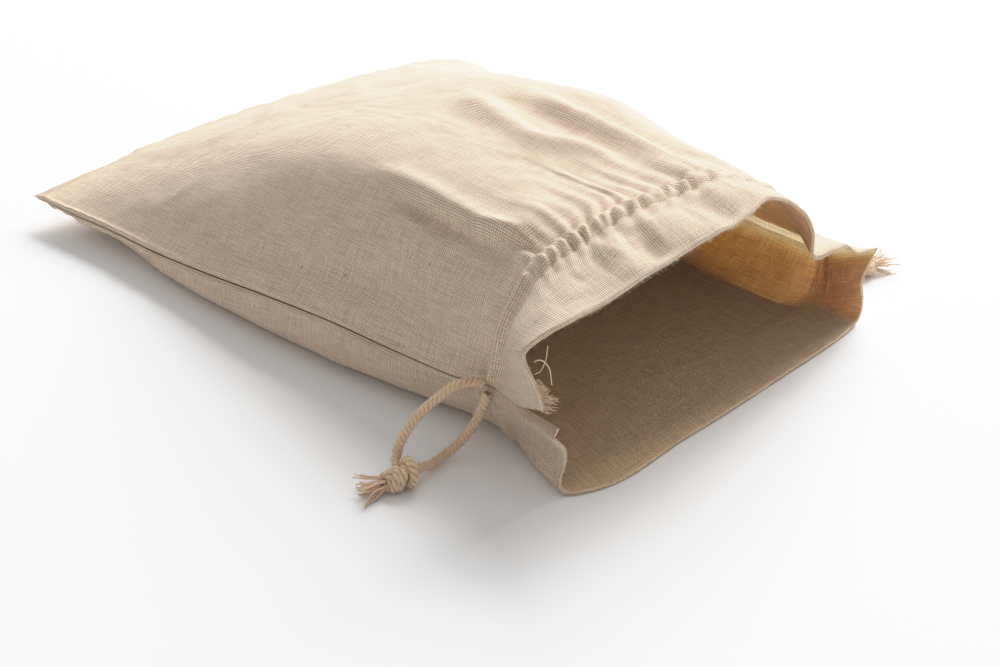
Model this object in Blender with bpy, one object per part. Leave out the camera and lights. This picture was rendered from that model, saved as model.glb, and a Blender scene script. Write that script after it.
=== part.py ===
"""Linen drawstring bread bag, lying on a table with its mouth held open.

Two panels of plain linen are sewn together along both sides and the closed end.
Each panel has a drawcord channel near the mouth and a doubled heading in front of it.
The two panels meet at the side seams, where the twisted cords leave the channels.
Drafting is in millimetres with Z up and the mouth towards -Y; the mesh is in metres.
"""
import math

import bmesh
import bpy
import numpy as np
from mathutils import Vector

# ------------------------------------------------------------------ driving sizes, mm
CUT_LENGTH = 403.0        # mouth hem to closed end
CUT_WIDTH = 305.0         # side seam to side seam, one panel laid flat
CLOTH = 1.2               # one layer
DOUBLED_CLOTH = 1.8       # heading and channel, turned back on themselves
SEAM_CLOTH = 0.35         # panels are pressed thin where they meet at a seam
SEAM_PRESS = 14.0         # how far that pressing reaches from the seam
END_PRESS = 0.5           # share of its thickness the cloth keeps at the closed end's seam
SEAM_GAP = 0.2            # each panel stops this short of the seam line
HEADING = 40.0            # mouth hem to the first stitch line of the channel
CHANNEL = 12.0            # between the two stitch lines
CHANNEL_PUFF = 2.6        # how far the cord lifts the channel
STITCH_DEPTH = 0.7        # how far a stitch line is pulled in
STITCH_WIDTH = 1.6        # how wide that pull is
DOUBLING_RAMP = 6.0       # behind the channel the cloth thins to one layer over this length
CHANNEL_FADE = 6.0        # the channel flattens this close to a side seam
FOLD_FADE = 30.0          # gathers and folds die away this close to a seam
FLOOR_SNAP = 0.5          # the underside closer to the table than this lies on it
ROPE = 4.2                # drawcord diameter
ROPE_LAY = 8.5            # length of one full turn of its three strands
ROPE_STEP = 1.5           # length of one ring of its mesh
ROPE_AROUND = 9           # corners of such a ring
ROPE_GROOVE = 0.12        # depth of the grooves between its strands, share of its radius
SHARES_ACROSS = 901       # fine places across at which a panel's rows are first taken
FIT = 0.3                 # gap between pieces that touch
MIDDLE = (38.5, 155.8)    # middle of the bag on the table, in the drafting frame

# ------------------------------------------------------------------ the mouth, mm
# Rings run from the near side seam, over or under the bag, to the far side seam.
NEAR_EXIT = (-77, 0, 35)
FAR_EXIT = (151, 12, 28)
NEAR_CORNER = (-86, -43, 45.5)       # lower front corner of the mouth's near slit
FAR_CORNER = (146, -25, 42)

#               x    y    z
FRONT_HEM = (NEAR_CORNER,
             (-92, -45, 60),
             (-97, -44, 78),
             (-88, -50, 87),
             (-57, -51, 91),
             (-14, -47, 96),
             (34, -41, 99),
             (56, -34, 98),
             (77, -33, 86),
             (90, -32, 69),
             (92, -32, 57),
             (105, -32, 57),
             (119, -27, 53),
             (134, -24, 43),
             FAR_CORNER)
FRONT_CHANNEL = (NEAR_EXIT,
                 (-77, -5, 54),
                 (-75, -7, 66),
                 (-69, -7, 77),
                 (-57, -6, 88),
                 (-40, -7, 94),
                 (-10, -6, 99),
                 (25, -5, 100),
                 (60, -3, 96),
                 (86, -2, 83),
                 (105, 0, 68),
                 (124, 4, 50),
                 (140, 8, 35),
                 FAR_EXIT)
BACK_HEM = ((-76, -42, 34),
            (-82, -45.5, 32),
            (-76, -45, 22),
            (-74.5, -43.5, 14),
            (-76, -43, 8.5),
            (-76.5, -43.5, 4),
            (-73, -45.5, 0.6),
            (-66, -48.5, 0),
            (0, -44, 0),
            (70, -34, 0),
            (128, -24, 0),
            (143, -20, 3),
            (146, -19, 12),
            (143, -20, 24),
            (145, -22, 33),
            FAR_CORNER)
BACK_HEADING = ((-74, -20, 32),
                (-77.5, -22, 29),
                (-72.5, -21, 22),
                (-70, -20, 14),
                (-71, -19, 8.5),
                (-71, -19.5, 4),
                (-67.5, -21, 0.6),
                (-60, -24, 0),
                (0, -23, 0),
                (76, -18, 0),
                (128, -11, 0),
                (142, -8, 3),
                (147, -7, 13),
                (146, -7, 24),
                (149, -6, 34))
FRONT_HEADING = ((-81, -22, 37),
                 (-85, -24, 54),
                 (-88, -26, 72),
                 (-79, -28, 84),
                 (-57, -29, 91),
                 (-20, -27, 99),
                 (24, -24, 101),
                 (58, -19, 98),
                 (80, -17, 86),
                 (95, -16, 70),
                 (104, -15, 58),
                 (122, -12, 50),
                 (138, -8, 41),
                 (149, -6, 34))
BACK_CHANNEL = (NEAR_EXIT,
                (-76, -1, 25),
                (-70, -1, 13),
                (-63, -2, 4),
                (-54, -2, 0),
                (0, -3, 0),
                (80, -3, 0),
                (128, 2, 0),
                (142, 6, 3),
                (150, 10, 12),
                FAR_EXIT)

# ------------------------------------------------------------------ the body, mm
# One row per cross-section: its distance from the mouth hem, its y at the near and the far seam,
# then x and z of the near seam, near wall, near shoulder, crown, far shoulder, far wall, far seam.
FRONT_SECTIONS = (
    # along  y near  y far  near seam   near wall  shoulder   crown     shoulder  far wall   far seam
    (72, 25, 22, (-78, 30), (-70, 62), (-56, 88), (5, 99), (82, 90), (116, 61), (149, 28)),
    (107, 60, 60, (-81, 28), (-69, 61), (-54, 88), (5, 99), (86, 90), (120, 62), (149, 27)),
    (152, 105, 107, (-87, 28), (-73, 59), (-53, 87), (8, 98), (94, 91), (126, 64), (150, 27)),
    (198, 150, 154, (-93, 26), (-77, 54), (-52, 82), (12, 94), (95, 87), (128, 62), (153, 24)),
    (244, 195, 200, (-96, 21), (-81, 46), (-52, 72), (16, 84), (96, 79), (132, 57), (159, 22)),
    (291, 240, 246, (-99, 17), (-84, 36), (-52, 57), (20, 69), (98, 68), (140, 51), (167, 20)),
    (339, 285, 297, (-103, 16), (-83, 29), (-43, 45), (26, 55), (104, 55), (152, 45), (176, 20)),
    (378, 322, 338, (-109, 16), (-84, 24), (-40, 33), (33, 37), (108, 37), (157, 33), (184, 20)),
    (403, 346, 364, (-113, 17), (-84, 19), (-38, 24), (37, 27), (110, 26), (160, 23), (190, 20)),
)
# The same rows for the cloth underneath: how high it hangs over the table, and how far in from
# each seam the bend to the table begins.
BACK_SECTIONS = (
    # along  near bend x, z  near floor x  height  far floor x  far bend x, z
    (72, (-71, 11), -58, 0, 126, (141, 12)),
    (107, (-80, 11), -66, 0, 124, (142, 12)),
    (152, (-88, 10), -76, 0, 124, (144, 11)),
    (198, (-94, 10), -84, 0, 128, (147, 10)),
    (244, (-98, 9), -88, 0, 136, (153, 9)),
    (291, (-98, 7), -88, 0, 146, (160, 8)),
    (339, (-96, 7), -84, 1, 154, (168, 8)),
    (378, (-98, 9), -84, 6, 160, (172, 9)),
    (403, None, None, None, None, None),
)

# ------------------------------------------------------------------ gathers and folds
# Gathers of the channel: place across the cloth as a share of its width, height in mm.
#          place  height  reach into the body, mm
GATHERS = ((0.193, 1.5, 14), (0.214, 2.0, 18), (0.236, 2.6, 34), (0.257, 1.8, 20), (0.280, 2.8, 38),
           (0.303, 2.0, 22), (0.329, 2.6, 34), (0.363, 2.1, 28), (0.394, 2.8, 42), (0.430, 1.9, 26),
           (0.461, 2.6, 36), (0.500, 2.0, 34), (0.535, 1.8, 30), (0.575, 2.4, 44), (0.620, 1.8, 28),
           (0.665, 2.2, 36), (0.715, 1.8, 26), (0.770, 2.1, 32), (0.830, 1.7, 24), (0.885, 1.5, 20))
GATHER_HEADING_REACH = 17.0   # how far they run into the heading
GATHER_EDGE = 0.03        # half room of the first and the last gather, share of the width

GATHER_LEAN = 10.0        # how far the gathers lean towards the far side behind the channel
LEAN_MIDDLE = 104.0       # across the cloth, where they lean most
LEAN_WIDTH = 20.0         # how far to either side of that they lean
LEAN_REACH = 17.0         # behind the channel, the length over which they do

# Long soft ridges and troughs of the front, in mm on the flat cloth: half width, height (a trough's is
# below 0), then the places it runs through, each across and along.
FOLDS = (
    (8, 2.6, (163, 207), (145, 162), (140, 135), (142, 118), (151, 109), (155, 95), (158, 79)),
    (8, -2.8, (168, 204), (164, 142), (164, 106), (162, 66)),
    (8, 3.2, (177, 173), (173, 134), (175, 98), (168, 59), (167, 33)),
    (8, -2.4, (196, 190), (190, 130), (190, 55)),
    (6, 1.6, (80, 182), (82, 129), (79, 79), (84, 68), (107, 75), (117, 70)),
    (5, -2.2, (73, 150), (72, 92), (72, 66), (82, 60)),
    (6, -1.6, (50, 100), (58, 52)),
    (11, -2.6, (17, 310), (22, 202), (26, 110), (27, 70)),
    (20, -1.8, (46, 240), (46, 120)),
    (20, 1.6, (100, 330), (165, 290)),
    (7, 1.2, (73, 33), (67, 9)),
    (8, 1.8, (104, 34), (99, 17), (95, 0)),
    (6, -2.6, (113, 32), (113, 0)),
    (9, 1.6, (130, 31), (133, 0)),
    (7, -2.0, (152, 33), (159, 5), (163, 0)),
    (8, 1.4, (161, 37), (177, 5)),
)

# ------------------------------------------------------------------ cords, mm
# Each drawcord leaves its channel as two strands that are tied in one knot.
NEAR_CORD_UPPER = ((-79.3, 2.4, 37), (-85, 4, 38.8), (-91, 6, 38.5), (-97, 8.5, 34.8), (-103, 11, 30.5),
                   (-108, 13, 25.5), (-112.5, 14.2, 19.5), (-116, 14.6, 14.5), (-118.5, 13.5, 10.8))
NEAR_CORD_LOWER = ((-79.6, -0.8, 33), (-81, 1, 26.5), (-81.5, 3.6, 20), (-84, 6.5, 13), (-88, 8, 8),
                   (-93, 9.5, 4.6), (-99, 9, 3.2), (-105, 7, 3.6), (-109.5, 6, 5))
FAR_CORD_UPPER = ((153, 13, 28), (157, 15, 26.5), (162, 17, 24), (167, 18, 20), (171, 18, 15),
                  (176, 17, 11))
FAR_CORD_LOWER = ((153, 11.5, 22.5), (156, 10, 17), (160, 9, 11), (164, 8.5, 6), (169, 9, 3.4),
                  (174, 10.5, 4))
NEAR_KNOT_AT = (-124.5, 4.5, 6.1)
FAR_KNOT_AT = (184.5, 13.5, 5.9)
NEAR_TASSEL_WAY = (-0.90, 0.34, -0.20)
FAR_TASSEL_WAY = (0.97, -0.20, -0.12)
# Wraps of a knot: along the cords, sideways and up from its middle, radius, tilt from level and
# turn about upright, in degrees.
NEAR_WRAPS = ((-4.6, -0.6, 1.6, 5.0, 84, -12),
              (-1.2, 0.4, -0.1, 4.2, 68, 20),
              (1.9, 0.2, -0.5, 3.8, 70, 8),
              (4.6, -0.3, -0.8, 2.6, 76, -20))
FAR_WRAPS = ((-4.2, 0.4, 1.2, 4.6, 80, 14),
             (-1.0, -0.4, -0.2, 4.2, 66, -26),
             (2.0, 0.2, -0.6, 3.8, 70, -6),
             (4.6, 0.2, -0.8, 2.6, 78, 22))
KNOT_CORE = 4.2           # radius of the tight middle
KNOT_FINENESS = 4         # rounds of splitting an icosahedron
WRAP_STEPS = 56           # places along a wrap at which its strands are taken
STRAND_OFFSET = 0.26      # middle of one strand of the rope from its middle, share of its diameter
STRAND_SIZE = 0.25        # radius of one such strand, share of the rope's diameter
STRAND_ROWS = (6, 5)      # yarns of a tassel, across and up
STRAND_PITCH = 1.25       # between neighbouring yarns at their roots
HEAD_DEPTH = 2.4          # the bound root of a tassel
HEAD_TAPER = 0.5          # its narrow end against the knot, share of its width
YARN_LENGTH = 11.0
YARN_UNEVEN = 0.20        # how much shorter or longer the yarns are, share of that length
YARN_WIDTH = 0.9
YARN_SPREAD = 1.3         # sideways run of the outermost yarns, share of their length
YARN_RISE = 0.6           # the same, upwards
YARN_STRAY = 0.06         # how far single yarns stray from that
# Rings of one yarn: how far along, how thick.
YARN_RINGS = ((0.0, 1.0), (0.45, 1.0), (1.0, 0.7))
YARN_ROOT = 0.15          # a yarn's first ring stands this far off its root's face
YARN_LIFT = 0.1           # the lowest yarns lie this far above the table

def mesh_place(points):
    """Drafting millimetres to metres about the middle of the bag."""
    return (np.asarray(points, float) - (MIDDLE[0], MIDDLE[1], 0.0)) / 1000.0


def hermite(knots, values, wanted):
    """A smooth curve through values at the knots, read at the wanted places."""
    knots = np.asarray(knots, float)
    values = np.asarray(values, float)
    wanted = np.asarray(wanted, float)
    steps = np.diff(knots)
    slopes = np.diff(values, axis=0) / steps.reshape((-1,) + (1,) * (values.ndim - 1))
    tangents = np.empty_like(values)
    tangents[0], tangents[-1] = slopes[0], slopes[-1]
    for i in range(1, len(knots) - 1):
        before, after = steps[i - 1], steps[i]
        tangents[i] = (slopes[i - 1] * after + slopes[i] * before) / (before + after)
    cell = np.clip(np.searchsorted(knots, wanted, side="right") - 1, 0, len(steps) - 1)
    shape = (-1,) + (1,) * (values.ndim - 1)
    step = steps[cell].reshape(shape)
    t = (wanted - knots[cell]).reshape(shape) / step
    return ((2 * t**3 - 3 * t**2 + 1) * values[cell] + (t**3 - 2 * t**2 + t) * step * tangents[cell]
            + (3 * t**2 - 2 * t**3) * values[cell + 1] + (t**3 - t**2) * step * tangents[cell + 1])


def lengths_along(points):
    """Running length of a line of points."""
    return np.concatenate([[0.0], np.cumsum(np.linalg.norm(np.diff(points, axis=0), axis=1))])


def through(points, shares):
    """A smooth curve through the points, read at shares of its whole length."""
    points = np.asarray(points, float)
    chords = lengths_along(points)
    fine = hermite(chords, points, np.linspace(0.0, chords[-1], 600))
    lengths = lengths_along(fine)
    wanted = np.asarray(shares) * lengths[-1]
    return np.stack([np.interp(wanted, lengths, fine[:, axis]) for axis in range(3)], axis=1)


def resampled(points, places, wanted):
    """A line of points given at some shares across, read at others."""
    return np.stack([np.interp(wanted, places, points[:, axis]) for axis in range(3)], axis=1)


def ease(value):
    """Smooth step from 0 to 1."""
    t = np.clip(value, 0.0, 1.0)
    return t * t * (3.0 - 2.0 * t)


# ------------------------------------------------------------------ places on the cloth
def cloth_columns():
    """Shares across the cloth: even steps, closer where the channel is gathered."""
    crests = [gather[0] for gather in GATHERS]
    valleys = [(a + b) / 2 for a, b in zip(crests, crests[1:])]
    plain = [0.0, 0.022, 0.05, 0.085, 0.12, 0.15, 0.18, 0.92, 0.95, 0.978, 1.0]
    columns = sorted(plain + crests + valleys)
    return np.array(columns)


def cloth_rows():
    """Distances from the mouth hem: fine at the channel, wider over the body."""
    first, last = HEADING, HEADING + CHANNEL
    heading = [0.0, 6.0, 13.0, 21.0, 29.0, 35.0]
    channel = [first, first + 3, (first + last) / 2, last - 3, last]
    body = [last + 4, last + 10, last + 18, last + 29]
    while body[-1] < CUT_LENGTH - 60:
        body.append(body[-1] + 20.0)
    tail = [CUT_LENGTH - d for d in (29, 18, 8, 0)]
    return np.array(heading + channel + body + tail)


# Shares across the back panel: close at the near flap and the far tip, wide on the table.
BACK_COLUMNS = (0.0, 0.025, 0.05, 0.075, 0.10, 0.12, 0.14, 0.16, 0.18, 0.21, 0.26, 0.34, 0.44, 0.54,
                0.64, 0.73, 0.80, 0.845, 0.88, 0.91, 0.94, 0.97, 1.0)
COLUMNS = cloth_columns()
ROWS = cloth_rows()


def section_points(row):
    """The over-body cross-section of one row of the table."""
    _, near_y, far_y, *points = row
    near_x, far_x = points[0][0], points[-1][0]
    out = []
    for x, z in points:
        share = (x - near_x) / (far_x - near_x)
        out.append((x, near_y + (far_y - near_y) * share, z))
    return out


def under_points(over, row):
    """The cross-section under the body, between the same two seam points."""
    _, near_bend, near_floor, height, far_floor, far_bend = row
    near, far = over[0], over[-1]
    if near_bend is None:
        return over
    inner = [(near_bend[0], near_bend[1]), (near_floor, height),
             ((2 * near_floor + far_floor) / 3, height), ((near_floor + 2 * far_floor) / 3, height),
             (far_floor, height), (far_bend[0], far_bend[1])]
    out = [near]
    for x, z in inner:
        share = (x - near[0]) / (far[0] - near[0])
        out.append((x, near[1] + (far[1] - near[1]) * share, z))
    return out + [far]


def lean(columns):
    """How far each row's places are shifted across the front, as shares of its width."""
    window = np.exp(-((columns * CUT_WIDTH - LEAN_MIDDLE) / LEAN_WIDTH) ** 2)
    reached = ease((ROWS - HEADING - CHANNEL / 2) / LEAN_REACH)
    return GATHER_LEAN / CUT_WIDTH * reached[:, None] * window[None, :]


def panel_surface(mouth_rings, sections, columns, leaning=False):
    """Outer surface of a panel as rows x columns points, before any gather or fold."""
    channel = HEADING + CHANNEL / 2
    along = [0.0, channel / 2, channel] + [row[0] for row in FRONT_SECTIONS]
    places = np.linspace(0.0, 1.0, SHARES_ACROSS)
    rings = [through(ring, places) for ring in list(mouth_rings) + sections]
    surface = hermite(along, np.stack(rings), ROWS)
    if not leaning:
        return np.stack([resampled(row, places, columns) for row in surface])
    return np.stack([resampled(row, places, columns + shift)
                     for row, shift in zip(surface, lean(columns))])


def surface_normals(grid):
    """Unit normals of a grid, pointing up for cloth that runs from near to far."""
    across = np.gradient(grid, axis=1)
    along = np.gradient(grid, axis=0)
    normals = np.cross(across, along)
    return normals / np.linalg.norm(normals, axis=2, keepdims=True)


def edge_fade(columns, width):
    """0 at the two side seams and the closed end, 1 past the given width."""
    side = np.minimum(columns, 1.0 - columns)[None, :] * CUT_WIDTH
    end = (CUT_LENGTH - ROWS)[:, None]
    return ease(side / width) * ease(end / width)


def channel_relief(columns):
    """The channel's rounded tube between two stitch lines."""
    place = (ROWS - HEADING) / CHANNEL
    tube = np.where((place > 0) & (place < 1), np.sin(np.pi * np.clip(place, 0, 1)), 0.0)
    stitch = (np.exp(-((ROWS - HEADING) / STITCH_WIDTH) ** 2)
              + np.exp(-((ROWS - HEADING - CHANNEL) / STITCH_WIDTH) ** 2))
    return (CHANNEL_PUFF * tube - STITCH_DEPTH * stitch)[:, None] * np.ones(len(columns))[None, :]


def gather_relief(columns):
    """Small folds that run out of the channel into the body and the heading."""
    middle = HEADING + CHANNEL / 2
    offset = ROWS - middle
    relief = np.zeros((len(ROWS), len(columns)))
    places = [gather[0] for gather in GATHERS]
    for index, (place, height, body_reach) in enumerate(GATHERS):
        fade = np.exp(-(offset / np.where(offset > 0, body_reach, GATHER_HEADING_REACH)) ** 2)
        left = places[index - 1] if index else place - GATHER_EDGE
        right = places[index + 1] if index + 1 < len(places) else place + GATHER_EDGE
        half = np.where(columns < place, place - left, right - place) / 2
        t = np.clip((columns - place) / half, -1, 1)
        bump = np.where(np.abs(t) < 1, np.cos(np.pi * t / 2) ** 2, 0.0)
        relief += height * fade[:, None] * bump[None, :]
    return relief


def fold_relief(columns):
    """Long soft ridges and troughs, each along its own line on the cloth."""
    across = (columns[None, :] + lean(columns)) * CUT_WIDTH
    along = ROWS[:, None]
    relief = np.zeros(across.shape)
    for width, height, *places in FOLDS:
        nearest2 = np.full(across.shape, np.inf)
        for (a0, l0), (a1, l1) in zip(places, places[1:]):
            length2 = (a1 - a0) ** 2 + (l1 - l0) ** 2
            t = np.clip(((across - a0) * (a1 - a0) + (along - l0) * (l1 - l0)) / length2, 0, 1)
            off_across = across - a0 - t * (a1 - a0)
            off_along = along - l0 - t * (l1 - l0)
            nearest2 = np.minimum(nearest2, off_across**2 + off_along**2)
        relief += height * np.exp(-nearest2 / width**2)
    return relief


# ------------------------------------------------------------------ meshes
def make_material(name, rgb, roughness):
    """A plain Principled material."""
    material = bpy.data.materials.new(name)
    material.use_nodes = True
    shader = material.node_tree.nodes["Principled BSDF"]
    shader.inputs["Base Color"].default_value = (*rgb, 1.0)
    shader.inputs["Roughness"].default_value = roughness
    shader.inputs["Metallic"].default_value = 0.0
    return material


def add_object(name, points, faces, material):
    """A smooth-shaded mesh object from drafting points."""
    mesh = bpy.data.meshes.new(name)
    mesh.from_pydata([tuple(p) for p in mesh_place(points)], [], faces)
    mesh.validate()
    mesh.shade_smooth()
    mesh.materials.append(material)
    thing = bpy.data.objects.new(name, mesh)
    bpy.context.scene.collection.objects.link(thing)
    return thing


def shell_faces(rows, cols, flip):
    """Faces of a closed sheet whose outer grid comes first and its inner grid second."""
    def outer(r, c):
        return r * cols + c

    def inner(r, c):
        return rows * cols + r * cols + c

    faces = []
    for r in range(rows - 1):
        for c in range(cols - 1):
            faces.append((outer(r, c), outer(r, c + 1), outer(r + 1, c + 1), outer(r + 1, c)))
            faces.append((inner(r, c), inner(r + 1, c), inner(r + 1, c + 1), inner(r, c + 1)))
    rim = ([(0, c) for c in range(cols)] + [(r, cols - 1) for r in range(1, rows)]
           + [(rows - 1, c) for c in range(cols - 2, -1, -1)] + [(r, 0) for r in range(rows - 2, 0, -1)])
    for here, there in zip(rim, rim[1:] + rim[:1]):
        faces.append((outer(*there), outer(*here), inner(*here), inner(*there)))
    return [face[::-1] for face in faces] if flip else faces


def build_panels():
    """Front and back panel, a small gap apart at their shared seams."""
    over = [section_points(row) for row in FRONT_SECTIONS]
    under = [under_points(points, row) for points, row in zip(over, BACK_SECTIONS)]
    back_columns = np.array(BACK_COLUMNS)
    front = panel_surface((FRONT_HEM, FRONT_HEADING, FRONT_CHANNEL), over, COLUMNS, leaning=True)
    back = panel_surface((BACK_HEM, BACK_HEADING, BACK_CHANNEL), under, back_columns)
    front[-1] = resampled(back[-1], back_columns, COLUMNS)

    relief = channel_relief(COLUMNS) * edge_fade(COLUMNS, CHANNEL_FADE)
    relief = relief + (gather_relief(COLUMNS) + fold_relief(COLUMNS)) * edge_fade(COLUMNS, FOLD_FADE)
    front = front + surface_normals(front) * relief[:, :, None]
    back[:, :, 2] = np.maximum(back[:, :, 2], 0.0)
    front_normals = surface_normals(front)
    back_normals = -surface_normals(back)

    # The two panels share one direction of thickness along each seam; the near one ends at the channel,
    # where the mouth's slit begins.
    sewn = ROWS >= HEADING + CHANNEL / 2
    for side, rows in ((0, sewn), (-1, ROWS >= 0.0)):
        shared = front_normals[rows, side] + back_normals[rows, side]
        shared /= np.linalg.norm(shared, axis=1, keepdims=True)
        front_normals[rows, side] = shared
        back_normals[rows, side] = shared
    shared = front_normals[-1] + resampled(back_normals[-1], back_columns, COLUMNS)
    shared /= np.linalg.norm(shared, axis=1, keepdims=True)
    front_normals[-1, 1:-1] = shared[1:-1]
    back_normals[-1, 1:-1] = resampled(shared, COLUMNS, back_columns)[1:-1]

    panels = {}
    for name, grid, normals, columns in (("front_panel", front, front_normals, COLUMNS),
                                         ("back_panel", back, back_normals, back_columns)):
        outer = grid.copy()
        for side, inside in ((0, 1), (-1, -2)):
            step = grid[:, inside] - grid[:, side]
            outer[:, side] += SEAM_GAP * step / np.linalg.norm(step, axis=1, keepdims=True)
        step = grid[-2] - grid[-1]
        outer[-1] += SEAM_GAP * step / np.linalg.norm(step, axis=1, keepdims=True)
        doubled = 1.0 - ease((ROWS - HEADING - CHANNEL) / DOUBLING_RAMP)
        layer = CLOTH + (DOUBLED_CLOTH - CLOTH) * doubled[:, None] * np.ones(len(columns))[None, :]
        thick = SEAM_CLOTH + (layer - SEAM_CLOTH) * edge_fade(columns, SEAM_PRESS)
        thick[-1] *= END_PRESS
        if name == "back_panel":
            floor = outer[:, :, 2] < FLOOR_SNAP
            outer[:, :, 2][floor] = 0.0
            normals = normals.copy()
            normals[floor] = (0.0, 0.0, -1.0)
        inner = outer - normals * thick[:, :, None]
        panels[name] = (outer, inner)
    return panels


# ------------------------------------------------------------------ cords, knots and tassels
def rope_mesh(route):
    """Points and faces of a three-strand rope along a smooth line through the route."""
    length = lengths_along(through(route, np.linspace(0, 1, 200)))[-1]
    line = through(route, np.linspace(0, 1, int(length / ROPE_STEP) + 1))
    count, around = len(line), ROPE_AROUND
    ahead = np.gradient(line, axis=0)
    ahead /= np.linalg.norm(ahead, axis=1, keepdims=True)
    run = lengths_along(line)
    side = np.cross(ahead[0], (0.0, 0.0, 1.0))
    points = []
    for i in range(count):
        side = side - ahead[i] * np.dot(side, ahead[i])
        side /= np.linalg.norm(side)
        up = np.cross(ahead[i], side)
        twist = -2 * math.pi * run[i] / ROPE_LAY
        for k in range(around):
            angle = 2 * math.pi * k / around
            radius = ROPE / 2 * (1.0 - ROPE_GROOVE + ROPE_GROOVE * math.cos(3 * angle))
            points.append(line[i] + radius * (side * math.cos(angle + twist) + up * math.sin(angle + twist)))
    faces = []
    for i in range(count - 1):
        here, there = i * around, (i + 1) * around
        for k in range(around):
            n = (k + 1) % around
            faces.append((here + k, here + n, there + n, there + k))
    faces.append(tuple(range(around - 1, -1, -1)))
    faces.append(tuple(range((count - 1) * around, count * around)))
    return np.array(points), faces


def knot_frame(way):
    """Axes of a knot: along its cords, level to the side, and up."""
    ahead = np.array((way[0], way[1], 0.0))
    ahead /= np.linalg.norm(ahead)
    return ahead, np.cross((0.0, 0.0, 1.0), ahead), np.array((0.0, 0.0, 1.0))


def wrap_strands(centre, radius, first, second):
    """Middle lines of the three strands of one rope wrap round the knot."""
    axis = np.cross(first, second)
    lines = []
    turns = max(1, round(2 * math.pi * radius / ROPE_LAY * 3)) / 3
    for strand in range(3):
        for a in np.linspace(0, 2 * math.pi, WRAP_STEPS, endpoint=False):
            outward = first * math.cos(a) + second * math.sin(a)
            twist = a * turns + strand * 2 * math.pi / 3
            offset = ROPE * STRAND_OFFSET * (outward * math.cos(twist) + axis * math.sin(twist))
            lines.append(centre + radius * outward + offset)
    return np.array(lines)


class Knot:
    """An overhand knot in two strands: rope wraps over a tight middle, in one skin."""

    def __init__(self, at, way, wraps):
        ahead, aside, up = knot_frame(way)
        self.at = np.array(at, float)
        strands = [self.at[None, :]]
        for along, sideways, lift, radius, tilt, turn in wraps:
            centre = self.at + ahead * along + aside * sideways + up * lift
            tilt, turn = math.radians(tilt), math.radians(turn)
            first = aside * math.cos(turn) + ahead * math.sin(turn)
            second = up * math.sin(tilt) + np.cross(up, first) * math.cos(tilt)
            strands.append(wrap_strands(centre, radius, first, second))
        self.balls = np.concatenate(strands) - self.at
        self.sizes = np.full(len(self.balls), ROPE * STRAND_SIZE)
        self.sizes[0] = KNOT_CORE

    def reach(self, ray):
        """Distance from the knot's middle to its skin along a unit ray."""
        along = self.balls @ ray
        hit = self.sizes**2 - (self.balls**2).sum(axis=1) + along**2
        return np.where(hit > 0, along + np.sqrt(np.maximum(hit, 0.0)), 0.0).max()

    def seat(self, way, across):
        """The point where a flat end of the given half width stops, a fit short of the skin."""
        way = np.array(way, float)
        way /= np.linalg.norm(way)
        side = np.cross(way, (0.0, 0.0, 1.0))
        side /= np.linalg.norm(side)
        up = np.cross(side, way)
        distance = 0.0
        for off in np.linspace(0.0, math.pi / 3, 16):
            for angle in np.linspace(0.0, 2 * math.pi, 24, endpoint=False):
                outward = side * math.cos(angle) + up * math.sin(angle)
                reach = self.reach(way * math.cos(off) + outward * math.sin(off))
                if reach * math.sin(off) <= across:
                    distance = max(distance, reach * math.cos(off))
        return self.at + way * (distance + FIT)

    def add(self, name, material):
        """The knot's object: a split icosahedron pushed out to the skin."""
        bm = bmesh.new()
        bmesh.ops.create_icosphere(bm, subdivisions=KNOT_FINENESS, radius=1.0)
        for vertex in bm.verts:
            ray = np.array(vertex.co)
            ray /= np.linalg.norm(ray)
            place = self.at + ray * self.reach(ray)
            place[2] = max(place[2], 0.0)
            vertex.co = Vector(mesh_place([place])[0])
        mesh = bpy.data.meshes.new(name)
        bm.to_mesh(mesh)
        bm.free()
        mesh.shade_smooth()
        mesh.materials.append(material)
        bpy.context.scene.collection.objects.link(bpy.data.objects.new(name, mesh))


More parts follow.
